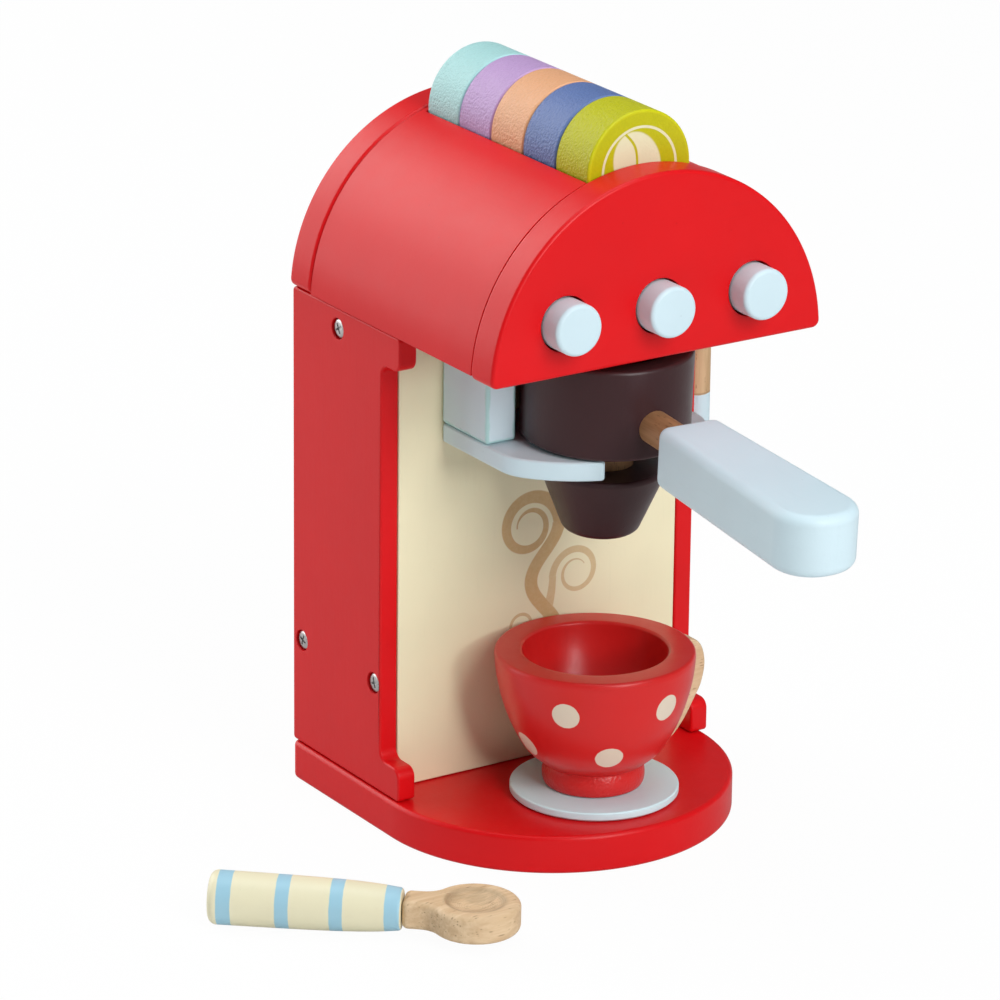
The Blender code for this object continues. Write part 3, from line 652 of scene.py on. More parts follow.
def spoonMatrix():
    look = spoonLook
    share, along = look["restShare"]
    dip = math.asin(look["radius"] * (1 - share) / (look["gripLength"] * along))
    place = Matrix.Translation((look["startX"], look["startY"], look["radius"] / math.cos(dip)))
    return place @ Matrix.Rotation(math.radians(look["heading"]), 4, "Z") @ Matrix.Rotation(dip, 4, "Y")


spoonBands = {"colour": (0.330, 0.600, 0.745), "starts": (0.0035, 0.0250, 0.0448, 0.0647),
              "widths": (0.0053, 0.0050, 0.0048, 0.0055)}


def bandedMaterial(name):
    finish = Finish(name)
    colour = paintBase(finish, paints["spoonCream"], "x")
    lie = spoonMatrix()
    along = finish.along(lie.translation, lie.to_3x3() @ Vector((1, 0, 0))) + (finish.noise(300, 2) - 0.5) * 0.0003
    band = None
    for start, width in zip(spoonBands["starts"], spoonBands["widths"]):
        stripe = finish.within(along, start, start + width)
        band = stripe if band is None else finish.most(band, stripe)
    finish.surface(Base_Color=finish.mix(band * 0.95, colour, spoonBands["colour"]))
    return finish.material


def scoopMaterial(name):
    finish = Finish(name)
    look = spoonLook
    lie = spoonMatrix()
    turned = (0, 0, -math.radians(look["heading"]))
    colour = beechColour(finish, paleBeech, "x", turned)
    away = finish.awayFrom(lie @ Vector((look["scoopCentre"], 0, look["scoopThickness"] / 2)))
    bowl = 1 - finish.step(away, look["bowlRadius"] * 0.94, look["bowlRadius"] * 1.02)
    smear = finish.step(finish.noise(1, 3, 0.6, finish.stretched((60, 260, 260), turned=turned)), 0.45, 0.62)
    colour = finish.mix(bowl * smear * 0.42, colour, scaled(paleBeech["dark"], 0.62))
    # painted shade: a darker ring on the bowl's sloping wall
    wall = finish.within(away, look["bowlRadius"] * 0.82, look["bowlRadius"] * 1.0, 0.0012)
    colour = finish.mix(wall * 0.45, colour, scaled(paleBeech["dark"], 0.50))
    marks = finish.math("SINE", away * 9000) * bowl
    grain = finish.noise(1, 4, 0.6, finish.stretched((30, 420, 420), turned=turned), 0.3)
    finish.relief(grain + marks * 0.35, 0.00009)
    finish.surface(Base_Color=colour)
    return finish.material


def steelMaterial(name, colour=(0.62, 0.61, 0.60), rough=0.30):
    finish = Finish(name)
    scratch = finish.noise(1, 3, 0.6, finish.stretched((2600, 300, 300)))
    smudge = finish.noise(700, 2)
    finish.surface(Base_Color=finish.mix(smudge, scaled(colour, 0.8), scaled(colour, 1.1)),
                   Metallic=1.0, Roughness=rough + (scratch - 0.5) * 0.2 + (smudge - 0.5) * 0.15)
    finish.relief(scratch, 0.00001)
    return finish.material


makeCamera()
print("camera set")

redPaint = paintMaterial("redPaint", paints["red"])
redPaintLying = paintMaterial("redPaintLying", paints["red"], "y")
paleBluePaint = paintMaterial("paleBluePaint", paints["paleBlue"])
paleBlueLying = paintMaterial("paleBlueLying", paints["paleBlue"], "y")
brownPaint = paintMaterial("brownPaint", paints["brown"])
beechUpright = beechMaterial("beechUpright", "z")
beechAlong = beechMaterial("beechAlong", "y")
beechAcross = beechMaterial("beechAcross", "x")
beechNeck = beechMaterial("beechNeck", "z", darkBeech)
beechEar = beechMaterial("beechEar", "x", paleBeech)
screwSteel = steelMaterial("screwSteel")
redPaintFront = paintMaterial("redPaintFront", paints["red"], "x")
buttonPaint = paintMaterial("buttonPaint", paints["paleBlue"], "y")
blockPaints = {side: edgedMaterial(f"blockPaint.{side}", f"bracket_block_{side}", "z") for side in ("left", "right")}
handlePaint = paintMaterial("handlePaint", paints["paleBlue"], "y")
coasterPaint = paintMaterial("coasterPaint", paints["coaster"], "x")
cupPaint = dottedMaterial("cupPaint")
creamPanel = printedPanel("creamPanel")
spoonPaint = bandedMaterial("spoonPaint")
beechDowel = beechMaterial("beechDowel", "y", darkBeech)
beechScoop = scoopMaterial("beechScoop")
wandFinish = wandMaterial("wandFinish")
capsulePaints = {label: capsuleMaterial(label) for label in ("aqua", "lilac", "orange", "blue", "lime")}
springSteel = steelMaterial("springSteel", (0.5, 0.5, 0.5), 0.35)
print("paints and woods mixed")

def copyTo(item, name, offset):  # a copy with its own mesh
    made = item.copy()
    made.data = item.data.copy()
    made.name = name
    made.data.name = name
    bpy.context.scene.collection.objects.link(made)
    moveBy(made, Matrix.Translation(offset))
    return made


def outline(name, points, at=(0, 0, 0)):  # a flat face, drawn by extruding one point along a path in XY
    bpy.ops.mesh.primitive_plane_add(size=0.001, location=(points[0][0], points[0][1], 0))
    item = takeNew(name)
    startEdit(item)
    bpy.ops.mesh.merge(type="CENTER")
    for here, there in zip(points, points[1:]):
        pull((there[0] - here[0], there[1] - here[1], 0))
    bpy.ops.mesh.select_all(action="SELECT")
    bpy.ops.mesh.edge_face_add()
    endEdit()
    moveBy(item, Matrix.Translation(at))
    return item


# Base board: half-round front, straight sides, small rear corners

baseBoard = {"rearCorner": 0.005, "edge": 0.0018, "arcSteps": 160}


def makeBase():
    low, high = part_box("base")
    radius = (high.x - low.x) / 2
    middle = (high.x + low.x) / 2
    corner = baseBoard["rearCorner"]
    item = outline("baseBoard", [
        *arcPoints((middle, low.y + radius), radius, 180, 360, baseBoard["arcSteps"]),
        *arcPoints((high.x - corner, high.y - corner), corner, 0, 90, 12),
        *arcPoints((low.x + corner, high.y - corner), corner, 90, 180, 12)])
    startEdit(item)
    thicken(item, (0, 0, high.z - low.z))
    endEdit()
    softenEdges(item, baseBoard["edge"], 5)
    finishPiece(item, "machine", redPaintLying, ["base"])


# Side panels: stepped at the foot and at the head, with sunk screws

sidePanel = {"recessY": 0.00955, "toeTop": 0.0282, "toeY": -0.00365, "headBottom": 0.1845, "headY": -0.00305,
             "fillet": 0.004, "corner": 0.0015, "edge": 0.0009}
screwLook = {"radius": 0.0036, "dome": 0.0006, "sink": 0.0012, "slotLength": 0.0042, "slotWidth": 0.0009,
             "slotDepth": 0.0008, "holeRadius": 0.0041}


def makeSidePanel(side):
    look = sidePanel
    low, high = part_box(f"side_panel_{side}")
    middle = (look["recessY"] + high.y) / 2
    item = sheet(f"sidePanel.{side}", (0, middle, (low.z + high.z) / 2), (0, math.pi / 2, 0),
                 (1, high.y - look["recessY"], high.z - low.z))
    startEdit(item)
    score((0, 0, look["toeTop"]), (0, 0, 1))
    score((0, 0, look["headBottom"]), (0, 0, 1))
    choose(item, "edges", lambda co: near(co.y, look["recessY"]) and co.z < look["toeTop"] + tiny)
    pull((0, look["toeY"] - look["recessY"], 0))
    choose(item, "edges", lambda co: near(co.y, look["recessY"]) and co.z > look["headBottom"] - tiny)
    pull((0, look["headY"] - look["recessY"], 0))
    bpy.ops.mesh.select_all(action="SELECT")
    bpy.ops.mesh.dissolve_limited(angle_limit=math.radians(1))
    steps = (look["toeTop"], look["headBottom"])
    choose(item, "verts", lambda co: min(abs(co.z - step) for step in steps) < tiny)
    roundCorners(look["fillet"])
    choose(item, "verts", lambda co: min(abs(co.z - end) for end in (low.z, high.z)) < tiny)
    roundCorners(look["corner"], 4)
    thicken(item, (high.x - low.x, 0, 0))
    bpy.ops.transform.translate(value=(low.x, 0, 0))
    endEdit()
    softenEdges(item, look["edge"], 3)
    for label in ("top", "rear", "front"):
        centre = sum(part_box(f"screw_{side}_{label}"), Vector()) / 2
        outer = high.x if side == "right" else low.x
        bpy.ops.mesh.primitive_cylinder_add(vertices=48, radius=screwLook["holeRadius"], depth=0.006,
                                            location=(outer, centre.y, centre.z), rotation=(0, math.pi / 2, 0))
        cutWith(item, takeNew("screwHole"))
    softenEdges(item, 0.0003, 2)
    finishPiece(item, "machine", redPaint, [f"side_panel_{side}"])


def makeScrews():
    look = screwLook
    head = turn("screwHead", [
        (look["radius"] * 0.55, -0.004), (look["radius"] * 0.55, -0.0018), (look["radius"] * 0.98, -0.0002),
        (look["radius"], 0.0001), (look["radius"] * 0.93, 0.00032), (look["radius"] * 0.7, look["dome"] * 0.85),
        (look["radius"] * 0.35, look["dome"]), (look["radius"] * 0.05, look["dome"])], 48)
    for turned in (0.5, 2.07):
        bpy.ops.mesh.primitive_cube_add(size=1, location=(0, 0, look["dome"]), rotation=(0, 0, turned),
                                        scale=(look["slotLength"], look["slotWidth"], look["slotDepth"] * 2))
        cutWith(head, takeNew("crossSlot"))
    softenEdges(head, 0.00012, 2)
    places = [(f"screw_{side}_{label}", 1 if side == "right" else -1)
              for side in ("left", "right") for label in ("top", "rear", "front")]
    for number, (name, sign) in enumerate([*places, ("wand_screw", 1)]):
        low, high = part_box(name)
        outer = high.x if sign > 0 else low.x
        item = copyTo(head, f"screw.{name}", (0, 0, 0))
        spin = Matrix.Rotation(0.7 * number, 4, "Z")
        place = Matrix.Translation((outer - sign * look["dome"] * 1.6, (low.y + high.y) / 2, (low.z + high.z) / 2))
        moveBy(item, place @ Matrix.Rotation(sign * math.pi / 2, 4, "Y") @ spin)
        finishPiece(item, "machine", screwSteel, [name])
    bpy.data.objects.remove(head)


# Flat boards of the body

flatBoards = {
    "frontPanel": {"node": "front_panel", "slot": "cream_paint", "edge": 0.0007},
    "backPanel": {"node": "back_panel", "slot": "red_paint", "edge": 0.0009},
    "topBoard": {"node": "top_board", "slot": "red_paint", "edge": 0.0006},
}


def makeFlatBoards():
    for name, look in flatBoards.items():
        item = boxPiece(name, *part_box(look["node"]))
        softenEdges(item, look["edge"], 3)
        material = creamPanel if name == "frontPanel" else redPaint
        finishPiece(item, "machine", material, [look["node"]])


# Hood: two D-shaped plates with a bent shell between them

hoodLook = {"corner": 0.003, "edge": 0.0015, "centreDrop": 0.00296, "shellWall": 0.005, "shellInset": 0.0004,
            "slotHalf": 0.0227, "slotRear": 0.0556, "holeRadius": 0.01044, "arcSteps": 240}


def hoodCentre():
    low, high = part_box("hood_back_plate")
    return low.z - hoodLook["centreDrop"]


def makeHoodPlate(name, node):
    low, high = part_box(node)
    radius = high.z - hoodCentre()
    corner = hoodLook["corner"]
    cornerZ = low.z - hoodCentre() + corner
    cornerX = math.sqrt((radius - corner) ** 2 - cornerZ ** 2)
    meet = math.degrees(math.atan2(cornerZ, cornerX))
    item = outline(name, [
        *arcPoints((cornerX, cornerZ), corner, -90, meet, 10),
        *arcPoints((0, 0), radius, meet, 180 - meet, hoodLook["arcSteps"] // 2)[1:-1],
        *arcPoints((-cornerX, cornerZ), corner, 180 - meet, 270, 10)])
    startEdit(item)
    thicken(item, (0, 0, high.y - low.y))
    endEdit()
    moveBy(item, Matrix.Translation((0, high.y, hoodCentre())) @ facing)
    softenEdges(item, hoodLook["edge"], 5)
    return item


def makeHoodPlates():
    back = makeHoodPlate("hoodBackPlate", "hood_back_plate")
    finishPiece(back, "machine", redPaint, ["hood_back_plate"])
    front = makeHoodPlate("hoodFrontPlate", "hood_front_plate")
    for label in ("left", "middle", "right"):
        centre = sum(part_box(f"button_{label}"), Vector()) / 2
        bpy.ops.mesh.primitive_cylinder_add(vertices=96, radius=hoodLook["holeRadius"], depth=0.06,
                                            location=centre, rotation=(math.pi / 2, 0, 0))
        cutWith(front, takeNew("buttonHole"))
    softenEdges(front, 0.0004, 2)
    finishPiece(front, "machine", redPaintFront, ["hood_front_plate"])


def makeHoodShell():
    look = hoodLook
    low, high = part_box("hood_shell")
    radius = high.x
    bpy.ops.mesh.primitive_circle_add(vertices=look["arcSteps"], radius=radius, fill_type="NOTHING",
                                      location=(0, low.y, hoodCentre()), rotation=(math.pi / 2, 0, 0))
    item = takeNew("hoodShell")
    startEdit(item)
    trim((0, 0, low.z - overrun), (0, 0, -1))
    pull((0, high.y - low.y, 0))
    bpy.ops.mesh.select_all(action="SELECT")
    bpy.ops.mesh.normals_make_consistent(inside=False)
    endEdit()
    outward = sum(((face.center - Vector((0, face.center.y, hoodCentre()))).dot(face.normal)
                   for face in item.data.polygons))
    applyModifier(item, "SOLIDIFY", thickness=look["shellWall"], offset=-1 if outward > 0 else 1)
    startEdit(item)
    bpy.ops.mesh.bisect(plane_co=(0, 0, low.z), plane_no=(0, 0, -1), use_fill=True, clear_outer=True)
    bpy.ops.mesh.select_all(action="SELECT")
    bpy.ops.mesh.normals_make_consistent(inside=False)
    endEdit()
    slot = boxPiece("capsuleSlot", (-look["slotHalf"], low.y - overrun, 0.24),
                    (look["slotHalf"], look["slotRear"], high.z + overrun))
    cutWith(item, slot)
    softenEdges(item, look["shellInset"], 2, 60)
    finishPiece(item, "machine", redPaintLying, ["hood_shell"])


# Push buttons and capsules, turned lying along Y

buttonLook = {"radius": 0.00974, "edge": 0.0017, "flangeRadius": 0.0112, "flange": 0.003}
capsuleLook = {"edge": 0.0008}


def makeButtons():
    look = buttonLook
    low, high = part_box("button_left")
    length = high.y - low.y
    nose = arcPoints((look["radius"] - look["edge"], length - look["edge"]), look["edge"], 0, 84, 6)
    first = turn("button.left", [
        (look["flangeRadius"], 0), (look["flangeRadius"], look["flange"]), (look["radius"], look["flange"]),
        *nose, (look["radius"] * 0.3, length), (look["radius"] * 0.03, length)])
    centre = (low + high) / 2
    moveBy(first, Matrix.Translation((centre.x, high.y, centre.z)) @ facing)
    for label in ("middle", "right"):
        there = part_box(f"button_{label}")[0] - low
        finishPiece(copyTo(first, f"button.{label}", there), f"button_{label}", buttonPaint,
                    [f"button_{label}"])
    finishPiece(first, "button_left", buttonPaint, ["button_left"])


def makeCapsules():
    low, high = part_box("capsule_aqua")
    thick = high.y - low.y
    radius = (high.x - low.x) / 2
    edge = capsuleLook["edge"]
    rear = arcPoints((radius - edge, edge), edge, -84, 0, 5)
    front = arcPoints((radius - edge, thick - edge), edge, 0, 84, 5)
    first = turn("capsule.first", [
        (radius * 0.03, 0), (radius * 0.5, 0), *rear, *front, (radius * 0.5, thick), (radius * 0.03, thick)], 128)
    centre = (low + high) / 2
    moveBy(first, Matrix.Translation((centre.x, high.y, centre.z)) @ facing)
    for label in ("aqua", "lilac", "orange", "blue", "lime"):
        node = f"capsule_{label}"
        item = copyTo(first, f"capsule.{label}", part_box(node)[0] - low)
        finishPiece(item, node, capsulePaints[label], [node])
    bpy.data.objects.remove(first)


# Bracket: two blocks and the forked plate under them

forkLook = {"frontY": -0.06105, "frontRise": 0.02536, "slotRadius": 0.0155, "slotCentre": -0.03668,
            "shoulder": 0.018, "tip": 0.0017, "edge": 0.0010, "blockEdge": 0.0014}


def makeBracket():
    look = forkLook
    for side in ("left", "right"):
        item = boxPiece(f"bracketBlock.{side}", *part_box(f"bracket_block_{side}"))
        softenEdges(item, look["blockEdge"], 5)
        finishPiece(item, "machine", blockPaints[side], [f"bracket_block_{side}"])

    low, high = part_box("fork_plate")
    radius = (high.x ** 2 + look["frontRise"] ** 2) / (2 * look["frontRise"])
    centreY = look["frontY"] + radius
    shoulder = look["shoulder"]
    shoulderX = high.x - shoulder
    shoulderY = centreY - math.sqrt((radius - shoulder) ** 2 - shoulderX ** 2)
    meet = math.degrees(math.atan2(centreY - shoulderY, shoulderX))
    slotHalf, tip = look["slotRadius"], look["tip"]
    tipX = slotHalf + tip
    tipY = centreY - math.sqrt((radius - tip) ** 2 - tipX ** 2)
    leave = math.degrees(math.atan2(centreY - tipY, tipX))
    tine = [
        (high.x, high.y), *arcPoints((shoulderX, shoulderY), shoulder, 0, -meet, 16),
        *arcPoints((0, centreY), radius, -meet, -leave, 40)[1:], *arcPoints((tipX, tipY), tip, -leave, -180, 8)[1:]]
    slot = arcPoints((0, look["slotCentre"]), slotHalf, 0, 180, 40)
    item = outline("forkPlate", [*tine, *slot, *[(-x, y) for x, y in reversed(tine)]], (0, 0, low.z))
    startEdit(item)
    thicken(item, (0, 0, high.z - low.z))
    endEdit()
    softenEdges(item, look["edge"], 4)
    finishPiece(item, "machine", paleBlueLying, ["fork_plate"])


# Portafilter, built upright on its own axis and leaned with it

filterLook = {"radius": 0.0318, "height": 0.0351, "edge": 0.0015, "recessRadius": 0.0223, "recessDepth": 0.022,
              "neckRadius": 0.0112, "neckLength": 0.0113, "tenon": 0.006, "gap": 0.0003,
              "spoutTop": 0.0241, "spoutTip": 0.0112, "spoutHeight": 0.0268, "tipFillet": 0.004}
handleLook = {"heading": -2.7, "shift": 0.0015, "dowelRadius": 0.00634, "dowelZ": 0.0126, "dowelTenon": 0.007,
              "start": 0.0529, "end": 0.1522, "nearHalf": 0.0129, "farHalf": 0.01685, "thickness": 0.0234,
              "drop": 0.0016, "nearRadius": 0.004, "farRadius": 0.0158, "edge": 0.0038}


def filterMatrix():
    joint = joints["portafilter_turn"]
    axis = Vector(joint["axis"])
    return Matrix.Translation(joint["pos_m"]) @ Matrix.Rotation(math.atan2(-axis.y, axis.z), 4, "X")


def makeFilter():
    look = filterLook
    lean = filterMatrix()
    top = look["height"]
    inner = look["recessRadius"]
    holder = turn("filterHolder", [
        (inner * 0.04, top - look["recessDepth"]), (inner * 0.9, top - look["recessDepth"]),
        *arcPoints((inner - 0.001, top - look["recessDepth"] + 0.001), 0.001, -80, 0, 4),
        *arcPoints((inner + look["edge"], top - look["edge"]), look["edge"], 180, 90, 5),
        *arcPoints((look["radius"] - look["edge"], top - look["edge"]), look["edge"], 90, 0, 5),
        *arcPoints((look["radius"] - look["edge"], look["edge"]), look["edge"], 0, -88, 5),
        (look["neckRadius"] + look["gap"], 0),
        (look["neckRadius"] + look["gap"], look["tenon"] + look["gap"]),
        (look["neckRadius"] * 0.04, look["tenon"] + look["gap"])], 128)
    moveBy(holder, lean)
    finishPiece(holder, "portafilter", brownPaint, ["filter_holder"])

    neckReach = look["neckLength"] + look["tenon"]
    neck = turn("filterNeck", [
        (look["neckRadius"] * 0.04, -neckReach), (look["neckRadius"] - 0.0005, -neckReach),
        (look["neckRadius"], -neckReach + 0.0005), (look["neckRadius"], look["tenon"] - 0.0005),
        (look["neckRadius"] - 0.0005, look["tenon"]), (look["neckRadius"] * 0.04, look["tenon"])])
    moveBy(neck, lean)
    finishPiece(neck, "filter_carrier", beechNeck, ["filter_neck"])

    top = -look["neckLength"] - look["gap"]
    bottom = top - look["spoutHeight"]
    wall = math.degrees(math.atan2(look["spoutTop"] - look["spoutTip"], look["spoutHeight"]))
    socket = top - look["tenon"]
    spout = turn("filterSpout", [
        (look["neckRadius"] * 0.04, socket), (look["neckRadius"] + look["gap"], socket),
        (look["neckRadius"] + look["gap"], top), (look["spoutTop"] - look["edge"], top),
        *arcPoints((look["spoutTop"] - look["edge"], top - look["edge"]), look["edge"], 78, -wall, 5),
        *arcPoints((look["spoutTip"], bottom + look["tipFillet"]), look["tipFillet"], -wall, -87, 7),
        (look["spoutTip"] * 0.04, bottom)], 128)
    moveBy(spout, lean)
    finishPiece(spout, "portafilter", brownPaint, ["filter_spout"])


def makeHandle():
    look = handleLook
    turned = Matrix.Rotation(math.radians(look["heading"]), 4, "Z")
    lean = filterMatrix() @ Matrix.Translation((look["shift"], 0, 0)) @ turned
    inHolder = filterLook["radius"] - look["dowelTenon"]
    length = look["start"] + look["dowelTenon"] - inHolder
    dowel = turn("handleDowel", [
        (look["dowelRadius"] * 0.04, 0), (look["dowelRadius"], 0),
        (look["dowelRadius"], length), (look["dowelRadius"] * 0.04, length)], 64)
    moveBy(dowel, lean @ Matrix.Translation((0, -inHolder, look["dowelZ"])) @ facing)
    finishPiece(dowel, "portafilter", beechDowel, ["handle_dowel"])

    low = look["dowelZ"] - look["drop"] - look["thickness"] / 2
    reach = look["end"] - look["start"]
    item = sheet("handleGrip", (0, -(look["start"] + look["end"]) / 2, low), (0, 0, 0),
                 (2 * look["nearHalf"], reach, 1))
    startEdit(item)
    choose(item, "verts", lambda co: near(co.y, -look["end"]))
    widen = look["farHalf"] / look["nearHalf"]
    bpy.ops.transform.resize(value=(widen, 1, 1), center_override=(0, -look["end"], low))
    roundCorners(look["farRadius"], 20)
    choose(item, "verts", lambda co: near(co.y, -look["start"]))
    roundCorners(look["nearRadius"], 8)
    thicken(item, (0, 0, look["thickness"]))
    endEdit()
    softenEdges(item, look["edge"], 7)
    bore = turn("handleBore", [(look["dowelRadius"] + 0.0002, 0), (look["dowelRadius"] + 0.0002, length)], 64)
    moveBy(bore, Matrix.Translation((0, -inHolder, look["dowelZ"])) @ facing)
    cutWith(item, bore)
    moveBy(item, lean)
    finishPiece(item, "portafilter", handlePaint, ["handle"])


# Coaster and cup

cupLook = {"axisY": -0.0296, "foot": 0.019, "top": 0.0722, "rimRadius": 0.0378, "boreRadius": 0.0273,
           "boreDepth": 0.032, "steps": 144, "earEdge": 0.0014}
cupWall = [(1.000, 0.955), (0.994, 0.900), (0.972, 0.778), (0.930, 0.652), (0.868, 0.519), (0.784, 0.388),
           (0.685, 0.274), (0.555, 0.190)]
cupFoot = [(0.497, 0.165), (0.490, 0.155), (0.503, 0.125), (0.514, 0.075), (0.508, 0.030), (0.492, 0.004)]
cupBore = [(0.04, 1.0), (0.300, 0.970), (0.560, 0.860), (0.740, 0.700), (0.860, 0.520), (0.932, 0.350),
           (0.978, 0.180), (1.000, 0.050), (1.010, 0.018), (1.045, 0.000)]
earShares = [(0.80, 0.195), (0.90, 0.225), (1.03, 0.330), (1.14, 0.460), (1.22, 0.560), (1.26, 0.660),
             (1.270, 0.740), (1.25, 0.820), (1.205, 0.885), (1.13, 0.925), (1.02, 0.940)]


def cupOutside(clearance=0):
    look = cupLook
    rise = look["top"] - look["foot"]
    upper = [(r * look["rimRadius"] + clearance, look["foot"] + h * rise) for r, h in cupWall]
    lower = [(r * look["rimRadius"] + clearance, look["foot"] + h * rise) for r, h in cupFoot]
    return [*smoothPath(upper, 4), *smoothPath(lower, 3)]


def makeCup():
    look = cupLook
    low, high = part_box("coaster")
    radius = (high.x - low.x) / 2
    edge = 0.0007
    coaster = turn("coasterDisc", [
        (radius * 0.04, low.z), (radius - edge, low.z), (radius, low.z + edge),
        *arcPoints((radius - edge, high.z - edge), edge, 0, 80, 3), (radius * 0.5, high.z),
        (radius * 0.04, high.z)], 144)
    moveBy(coaster, Matrix.Translation(((low.x + high.x) / 2, (low.y + high.y) / 2, 0)))
    finishPiece(coaster, "machine", coasterPaint, ["coaster"])

    bore = [(r * look["boreRadius"], look["top"] - d * look["boreDepth"]) for r, d in cupBore]
    rim = [(0.80, 1.0), (0.962, 1.000), (0.984, 0.995), (0.996, 0.982)]
    rise = look["top"] - look["foot"]
    rim = [(r * look["rimRadius"], look["foot"] + h * rise) for r, h in rim]
    cup = turn("cupTurned", [*smoothPath(bore, 3), *rim, *cupOutside(),
                       (0.47 * look["rimRadius"], look["foot"]), (0.02 * look["rimRadius"], look["foot"])],
               look["steps"])
    moveBy(cup, Matrix.Translation((0, look["axisY"], 0)))
    finishPiece(cup, "cup", cupPaint, ["cup"], 40)

    low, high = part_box("cup_ear")
    curve = [(r * look["rimRadius"], look["foot"] + h * rise) for r, h in earShares]
    curve = [(0.55 * look["rimRadius"], curve[0][1]), *smoothPath(curve, 4),
             (0.55 * look["rimRadius"], curve[-1][1])]
    ear = outline("cupEar", curve)
    startEdit(ear)
    thicken(ear, (0, 0, high.y - low.y))
    endEdit()
    softenEdges(ear, look["earEdge"], 4, 50)
    moveBy(ear, Matrix.Translation((0, high.y, 0)) @ facing)
    seat = turn("earSeat", [(0.02, 0.0745), *cupOutside(0.0003), (0.018, look["foot"] - 0.001)], look["steps"])
    moveBy(seat, Matrix.Translation((0, look["axisY"], 0)))
    cutWith(ear, seat)
    finishPiece(ear, "cup", beechEar, ["cup_ear"])


# Steam wand at the right side

def makeWand():
    low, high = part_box("steam_wand")
    radius = (high.x - low.x) / 2
    edge = wandLook["edge"]
    wand = turn("steamWand", [
        (radius * 0.04, low.z), (radius * 0.6, low.z),
        *arcPoints((radius - edge, low.z + edge), edge, -84, 0, 5),
        (radius, wandLook["paintTop"]),
        *arcPoints((radius - edge, high.z - edge), edge, 0, 84, 5),
        (radius * 0.6, high.z), (radius * 0.04, high.z)], 64)
    moveBy(wand, Matrix.Translation(((low.x + high.x) / 2, (low.y + high.y) / 2, 0)))
    finishPiece(wand, "steam_wand", wandFinish, ["steam_wand"])


# Spoon: painted tapered grip with a wooden scoop, lying on its own axis

def makeSpoon():
    look = spoonLook
    lie = spoonMatrix()
    along = Matrix.Rotation(math.pi / 2, 4, "Y")  # turns +Z along the grip
    length = look["gripLength"]
    thick = look["radius"]
    front = gripShares[-1][0] * thick
    side = smoothPath([(thick, look["rearEdge"]), *[(r * thick, s * length) for r, s in gripShares[:-1]],
                       (front, length - look["frontEdge"])], 3)
    grip = turn("spoonGrip", [
        (thick * 0.04, 0), (thick * 0.5, 0),
        *arcPoints((thick - look["rearEdge"], look["rearEdge"]), look["rearEdge"], -84, -8, 7), *side,
        *arcPoints((front - look["frontEdge"], length - look["frontEdge"]), look["frontEdge"], 14, 84, 4),
        (front * 0.04, length)], 96)
    moveBy(grip, lie @ along)
    finishPiece(grip, "spoon", spoonPaint, ["spoon_grip"])

    radius, flare, half = look["scoopRadius"], look["neckFlare"], look["neckHalf"]
    meet = math.degrees(math.asin((half + flare) / (radius + flare)))
    flareX = look["scoopCentre"] - (radius + flare) * math.cos(math.radians(meet))
    start = length + 0.0003
    edgePath = [
        (start, -half), *arcPoints((flareX, -half - flare), flare, 90, meet, 7)[:-1],
        *arcPoints((look["scoopCentre"], 0), radius, meet - 180, 180 - meet, 60),
        *arcPoints((flareX, half + flare), flare, -meet, -90, 7)[1:], (start, half)]
    scoop = outline("spoonScoop", edgePath)
    startEdit(scoop)
    thicken(scoop, (0, 0, look["scoopThickness"]))
    bpy.ops.transform.translate(value=(0, 0, -look["scoopThickness"] / 2))
    endEdit()
    softenEdges(scoop, look["scoopEdge"], 6)
    ball = (look["bowlRadius"] ** 2 + look["bowlDepth"] ** 2) / (2 * look["bowlDepth"])
    bpy.ops.mesh.primitive_uv_sphere_add(
        segments=96, ring_count=96, radius=ball,
        location=(look["scoopCentre"], 0, look["scoopThickness"] / 2 + ball - look["bowlDepth"]))
    cutWith(scoop, takeNew("scoopBowl"))
    softenEdges(scoop, 0.0004, 2, 15)
    moveBy(scoop, lie)
    finishPiece(scoop, "spoon", beechScoop, ["spoon_scoop"])


# Springs behind the buttons, against the stop board; they keep their length as a button goes in

springLook = {"turns": 5, "steps": 20, "radius": 0.006, "wire": 0.0006}


def makeSprings():
    look = springLook
    low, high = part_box("button_spring_left")
    pitch = (high.y - low.y - 2 * look["wire"]) / look["turns"]
    bpy.ops.mesh.primitive_circle_add(vertices=10, radius=look["wire"], rotation=(math.pi / 2, 0, 0),
                                      location=(look["radius"], 0, look["wire"]))
    first = takeNew("spring.left")
    applyModifier(first, "SCREW", angle=math.tau, screw_offset=pitch, iterations=look["turns"],
                  steps=look["steps"], render_steps=look["steps"], use_normal_calculate=True)
    startEdit(first)
    bpy.ops.mesh.fill_holes(sides=0)
    bpy.ops.mesh.select_all(action="SELECT")
    bpy.ops.mesh.normals_make_consistent(inside=False)
    endEdit()
    centre = (low + high) / 2
    moveBy(first, Matrix.Translation((centre.x, high.y, centre.z)) @ facing)
    springs = {"left": first}
    for label in ("middle", "right"):
        springs[label] = copyTo(first, f"spring.{label}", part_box(f"button_spring_{label}")[0] - low)
    for label, item in springs.items():
        node = f"button_spring_{label}"
        finishPiece(item, "machine", springSteel, [node])
        joint = joints[f"button_{label}_press"]
        low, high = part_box(node)
        travel = joint["range_m"][1]
        1 - travel / (high.y - low.y)
        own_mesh(item)


# Inner parts keep their solids and get their finishes

innerFinishes = {
    "hood_floor": "redPaint", "trough_rail_left": "beechAlong", "trough_rail_right": "beechAlong",
    "trough_tray": "beechAlong", "button_stop": "beechAcross",
}


def dressInnerParts():
    for node, finish in innerFinishes.items():
        item = nodes[node]
        item.data.materials.clear()
        item.data.materials.append(bpy.data.materials[finish])


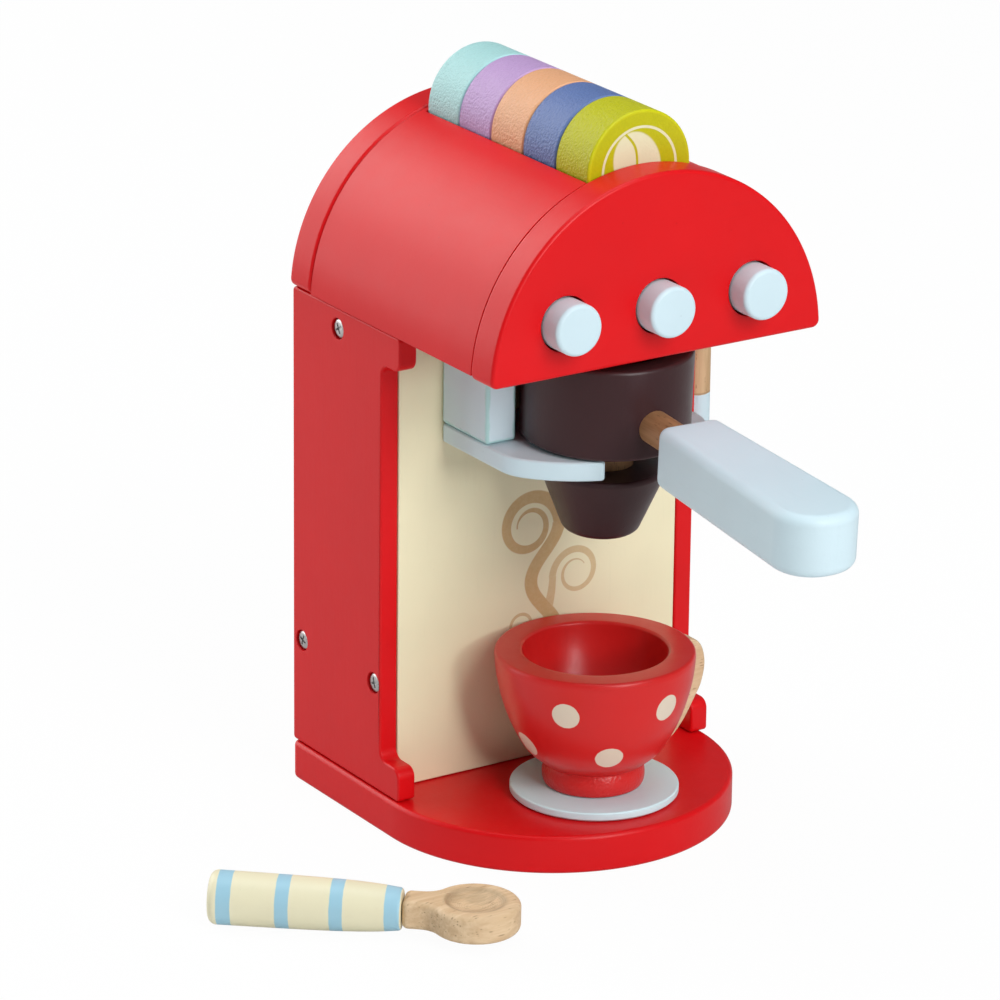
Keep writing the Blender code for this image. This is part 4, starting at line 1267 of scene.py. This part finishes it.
makeBase()
for side in ("left", "right"):
    makeSidePanel(side)
makeFlatBoards()
makeScrews()
print("body shaped")
makeHoodPlates()
makeHoodShell()
print("hood shaped")
makeButtons()
makeSprings()
makeCapsules()
makeBracket()
print("buttons, capsules and bracket shaped")
makeFilter()
makeHandle()
print("portafilter shaped")
makeCup()
makeWand()
makeSpoon()
print("cup, wand and spoon shaped")
dressInnerParts()


# Floor, light and background

stageLook = {"floorSize": 6, "floorColour": (0.86, 0.86, 0.86), "shownWhite": 0.965,
             "worldLight": 0.18, "worldColour": (0.93, 0.98, 1.0), "paintedReflectionFront": 0.22, "paintedReflectionBack": 0.75}


def makeStage():
    bpy.ops.mesh.primitive_plane_add(size=stageLook["floorSize"], location=(0, 0, 0))
    floor = takeNew("floor")
    paper = Finish("floorPaper")
    rays = paper.node("ShaderNodeLightPath")
    seen = Wire(paper, rays.outputs["Is Camera Ray"])
    glow = paper.node("ShaderNodeEmission", {}, Color=(1, 1, 1), Strength=1.0)
    paper.surface(Base_Color=paper.mix(paper.noise(3, 2), stageLook["floorColour"],
                                       scaled(stageLook["floorColour"], 0.99)), Roughness=0.9)
    blend = paper.node("ShaderNodeMixShader")
    paper.feed(blend.inputs["Fac"], seen * stageLook["shownWhite"])
    paper.tree.links.new(paper.shader.outputs[0], blend.inputs[1])
    paper.tree.links.new(glow.outputs[0], blend.inputs[2])

    # Painted reflection: glossy rays see the floor as a glow, dim in front and brighter towards the back
    reflected = Wire(paper, rays.outputs["Is Glossy Ray"])
    near, far = ((stageLook[key],) * 3 for key in ("paintedReflectionFront", "paintedReflectionBack"))
    shade = paper.mix(paper.step(paper.y, -0.6, 0.6), near, far)
    paintedReflectionGlow = paper.node("ShaderNodeEmission", {}, Color=shade, Strength=1.0)
    finalBlend = paper.node("ShaderNodeMixShader")
    paper.feed(finalBlend.inputs["Fac"], reflected)
    paper.tree.links.new(blend.outputs[0], finalBlend.inputs[1])
    paper.tree.links.new(paintedReflectionGlow.outputs[0], finalBlend.inputs[2])
    paper.tree.links.new(finalBlend.outputs[0], paper.output.inputs["Surface"])
    floor.data.materials.append(paper.material)

    world = bpy.data.worlds.new("studio")
    bpy.context.scene.world = world
    world.use_nodes = True
    tree = world.node_tree
    tree.nodes.clear()
    rays = tree.nodes.new("ShaderNodeLightPath")
    shown = tree.nodes.new("ShaderNodeBackground")
    light = tree.nodes.new("ShaderNodeBackground")
    chosen = tree.nodes.new("ShaderNodeMixShader")
    output = tree.nodes.new("ShaderNodeOutputWorld")
    shown.inputs["Strength"].default_value = 1.0
    shown.inputs["Color"].default_value = (1, 1, 1, 1)
    light.inputs["Color"].default_value = (*stageLook["worldColour"], 1)
    light.inputs["Strength"].default_value = stageLook["worldLight"]
    tree.links.new(rays.outputs["Is Camera Ray"], chosen.inputs["Fac"])
    tree.links.new(light.outputs[0], chosen.inputs[1])
    tree.links.new(shown.outputs[0], chosen.inputs[2])
    tree.links.new(chosen.outputs[0], output.inputs["Surface"])


lamps = {
    "keyFront": {"place": (0.16, -1.80, 1.40), "size": 1.0, "power": 23.0, "colour": (1, 1, 1)},
    "frontLow": {"place": (0.00, -2.20, 0.72), "size": 0.36, "power": 10.5, "colour": (1, 1, 1)},
    "fillLeft": {"place": (-1.15, 1.80, 0.62), "size": 2.2, "power": 34, "colour": (1, 1, 1)},
    "backSoft": {"place": (-0.50, 1.95, 1.35), "size": 1.3, "power": 12, "colour": (1, 0.98, 0.95)},
    "topSoft": {"place": (0.10, 0.00, 2.00), "size": 1.3, "power": 16, "colour": (0.87, 0.95, 1)},
}


def makeLamps():
    aim = Vector((0, 0, 0.14))
    for name, look in lamps.items():
        bpy.ops.object.light_add(type="AREA", location=look["place"])
        lamp = bpy.context.object
        lamp.name = name
        lamp.data.shape = "SQUARE"
        lamp.data.size = look["size"]
        lamp.data.energy = look["power"]
        lamp.data.color = look["colour"]
        lamp.rotation_euler = (aim - Vector(look["place"])).to_track_quat("-Z", "Y").to_euler()


makeStage()
makeLamps()
bpy.context.scene.view_settings.view_transform = "Standard"
print("stage and lamps placed")
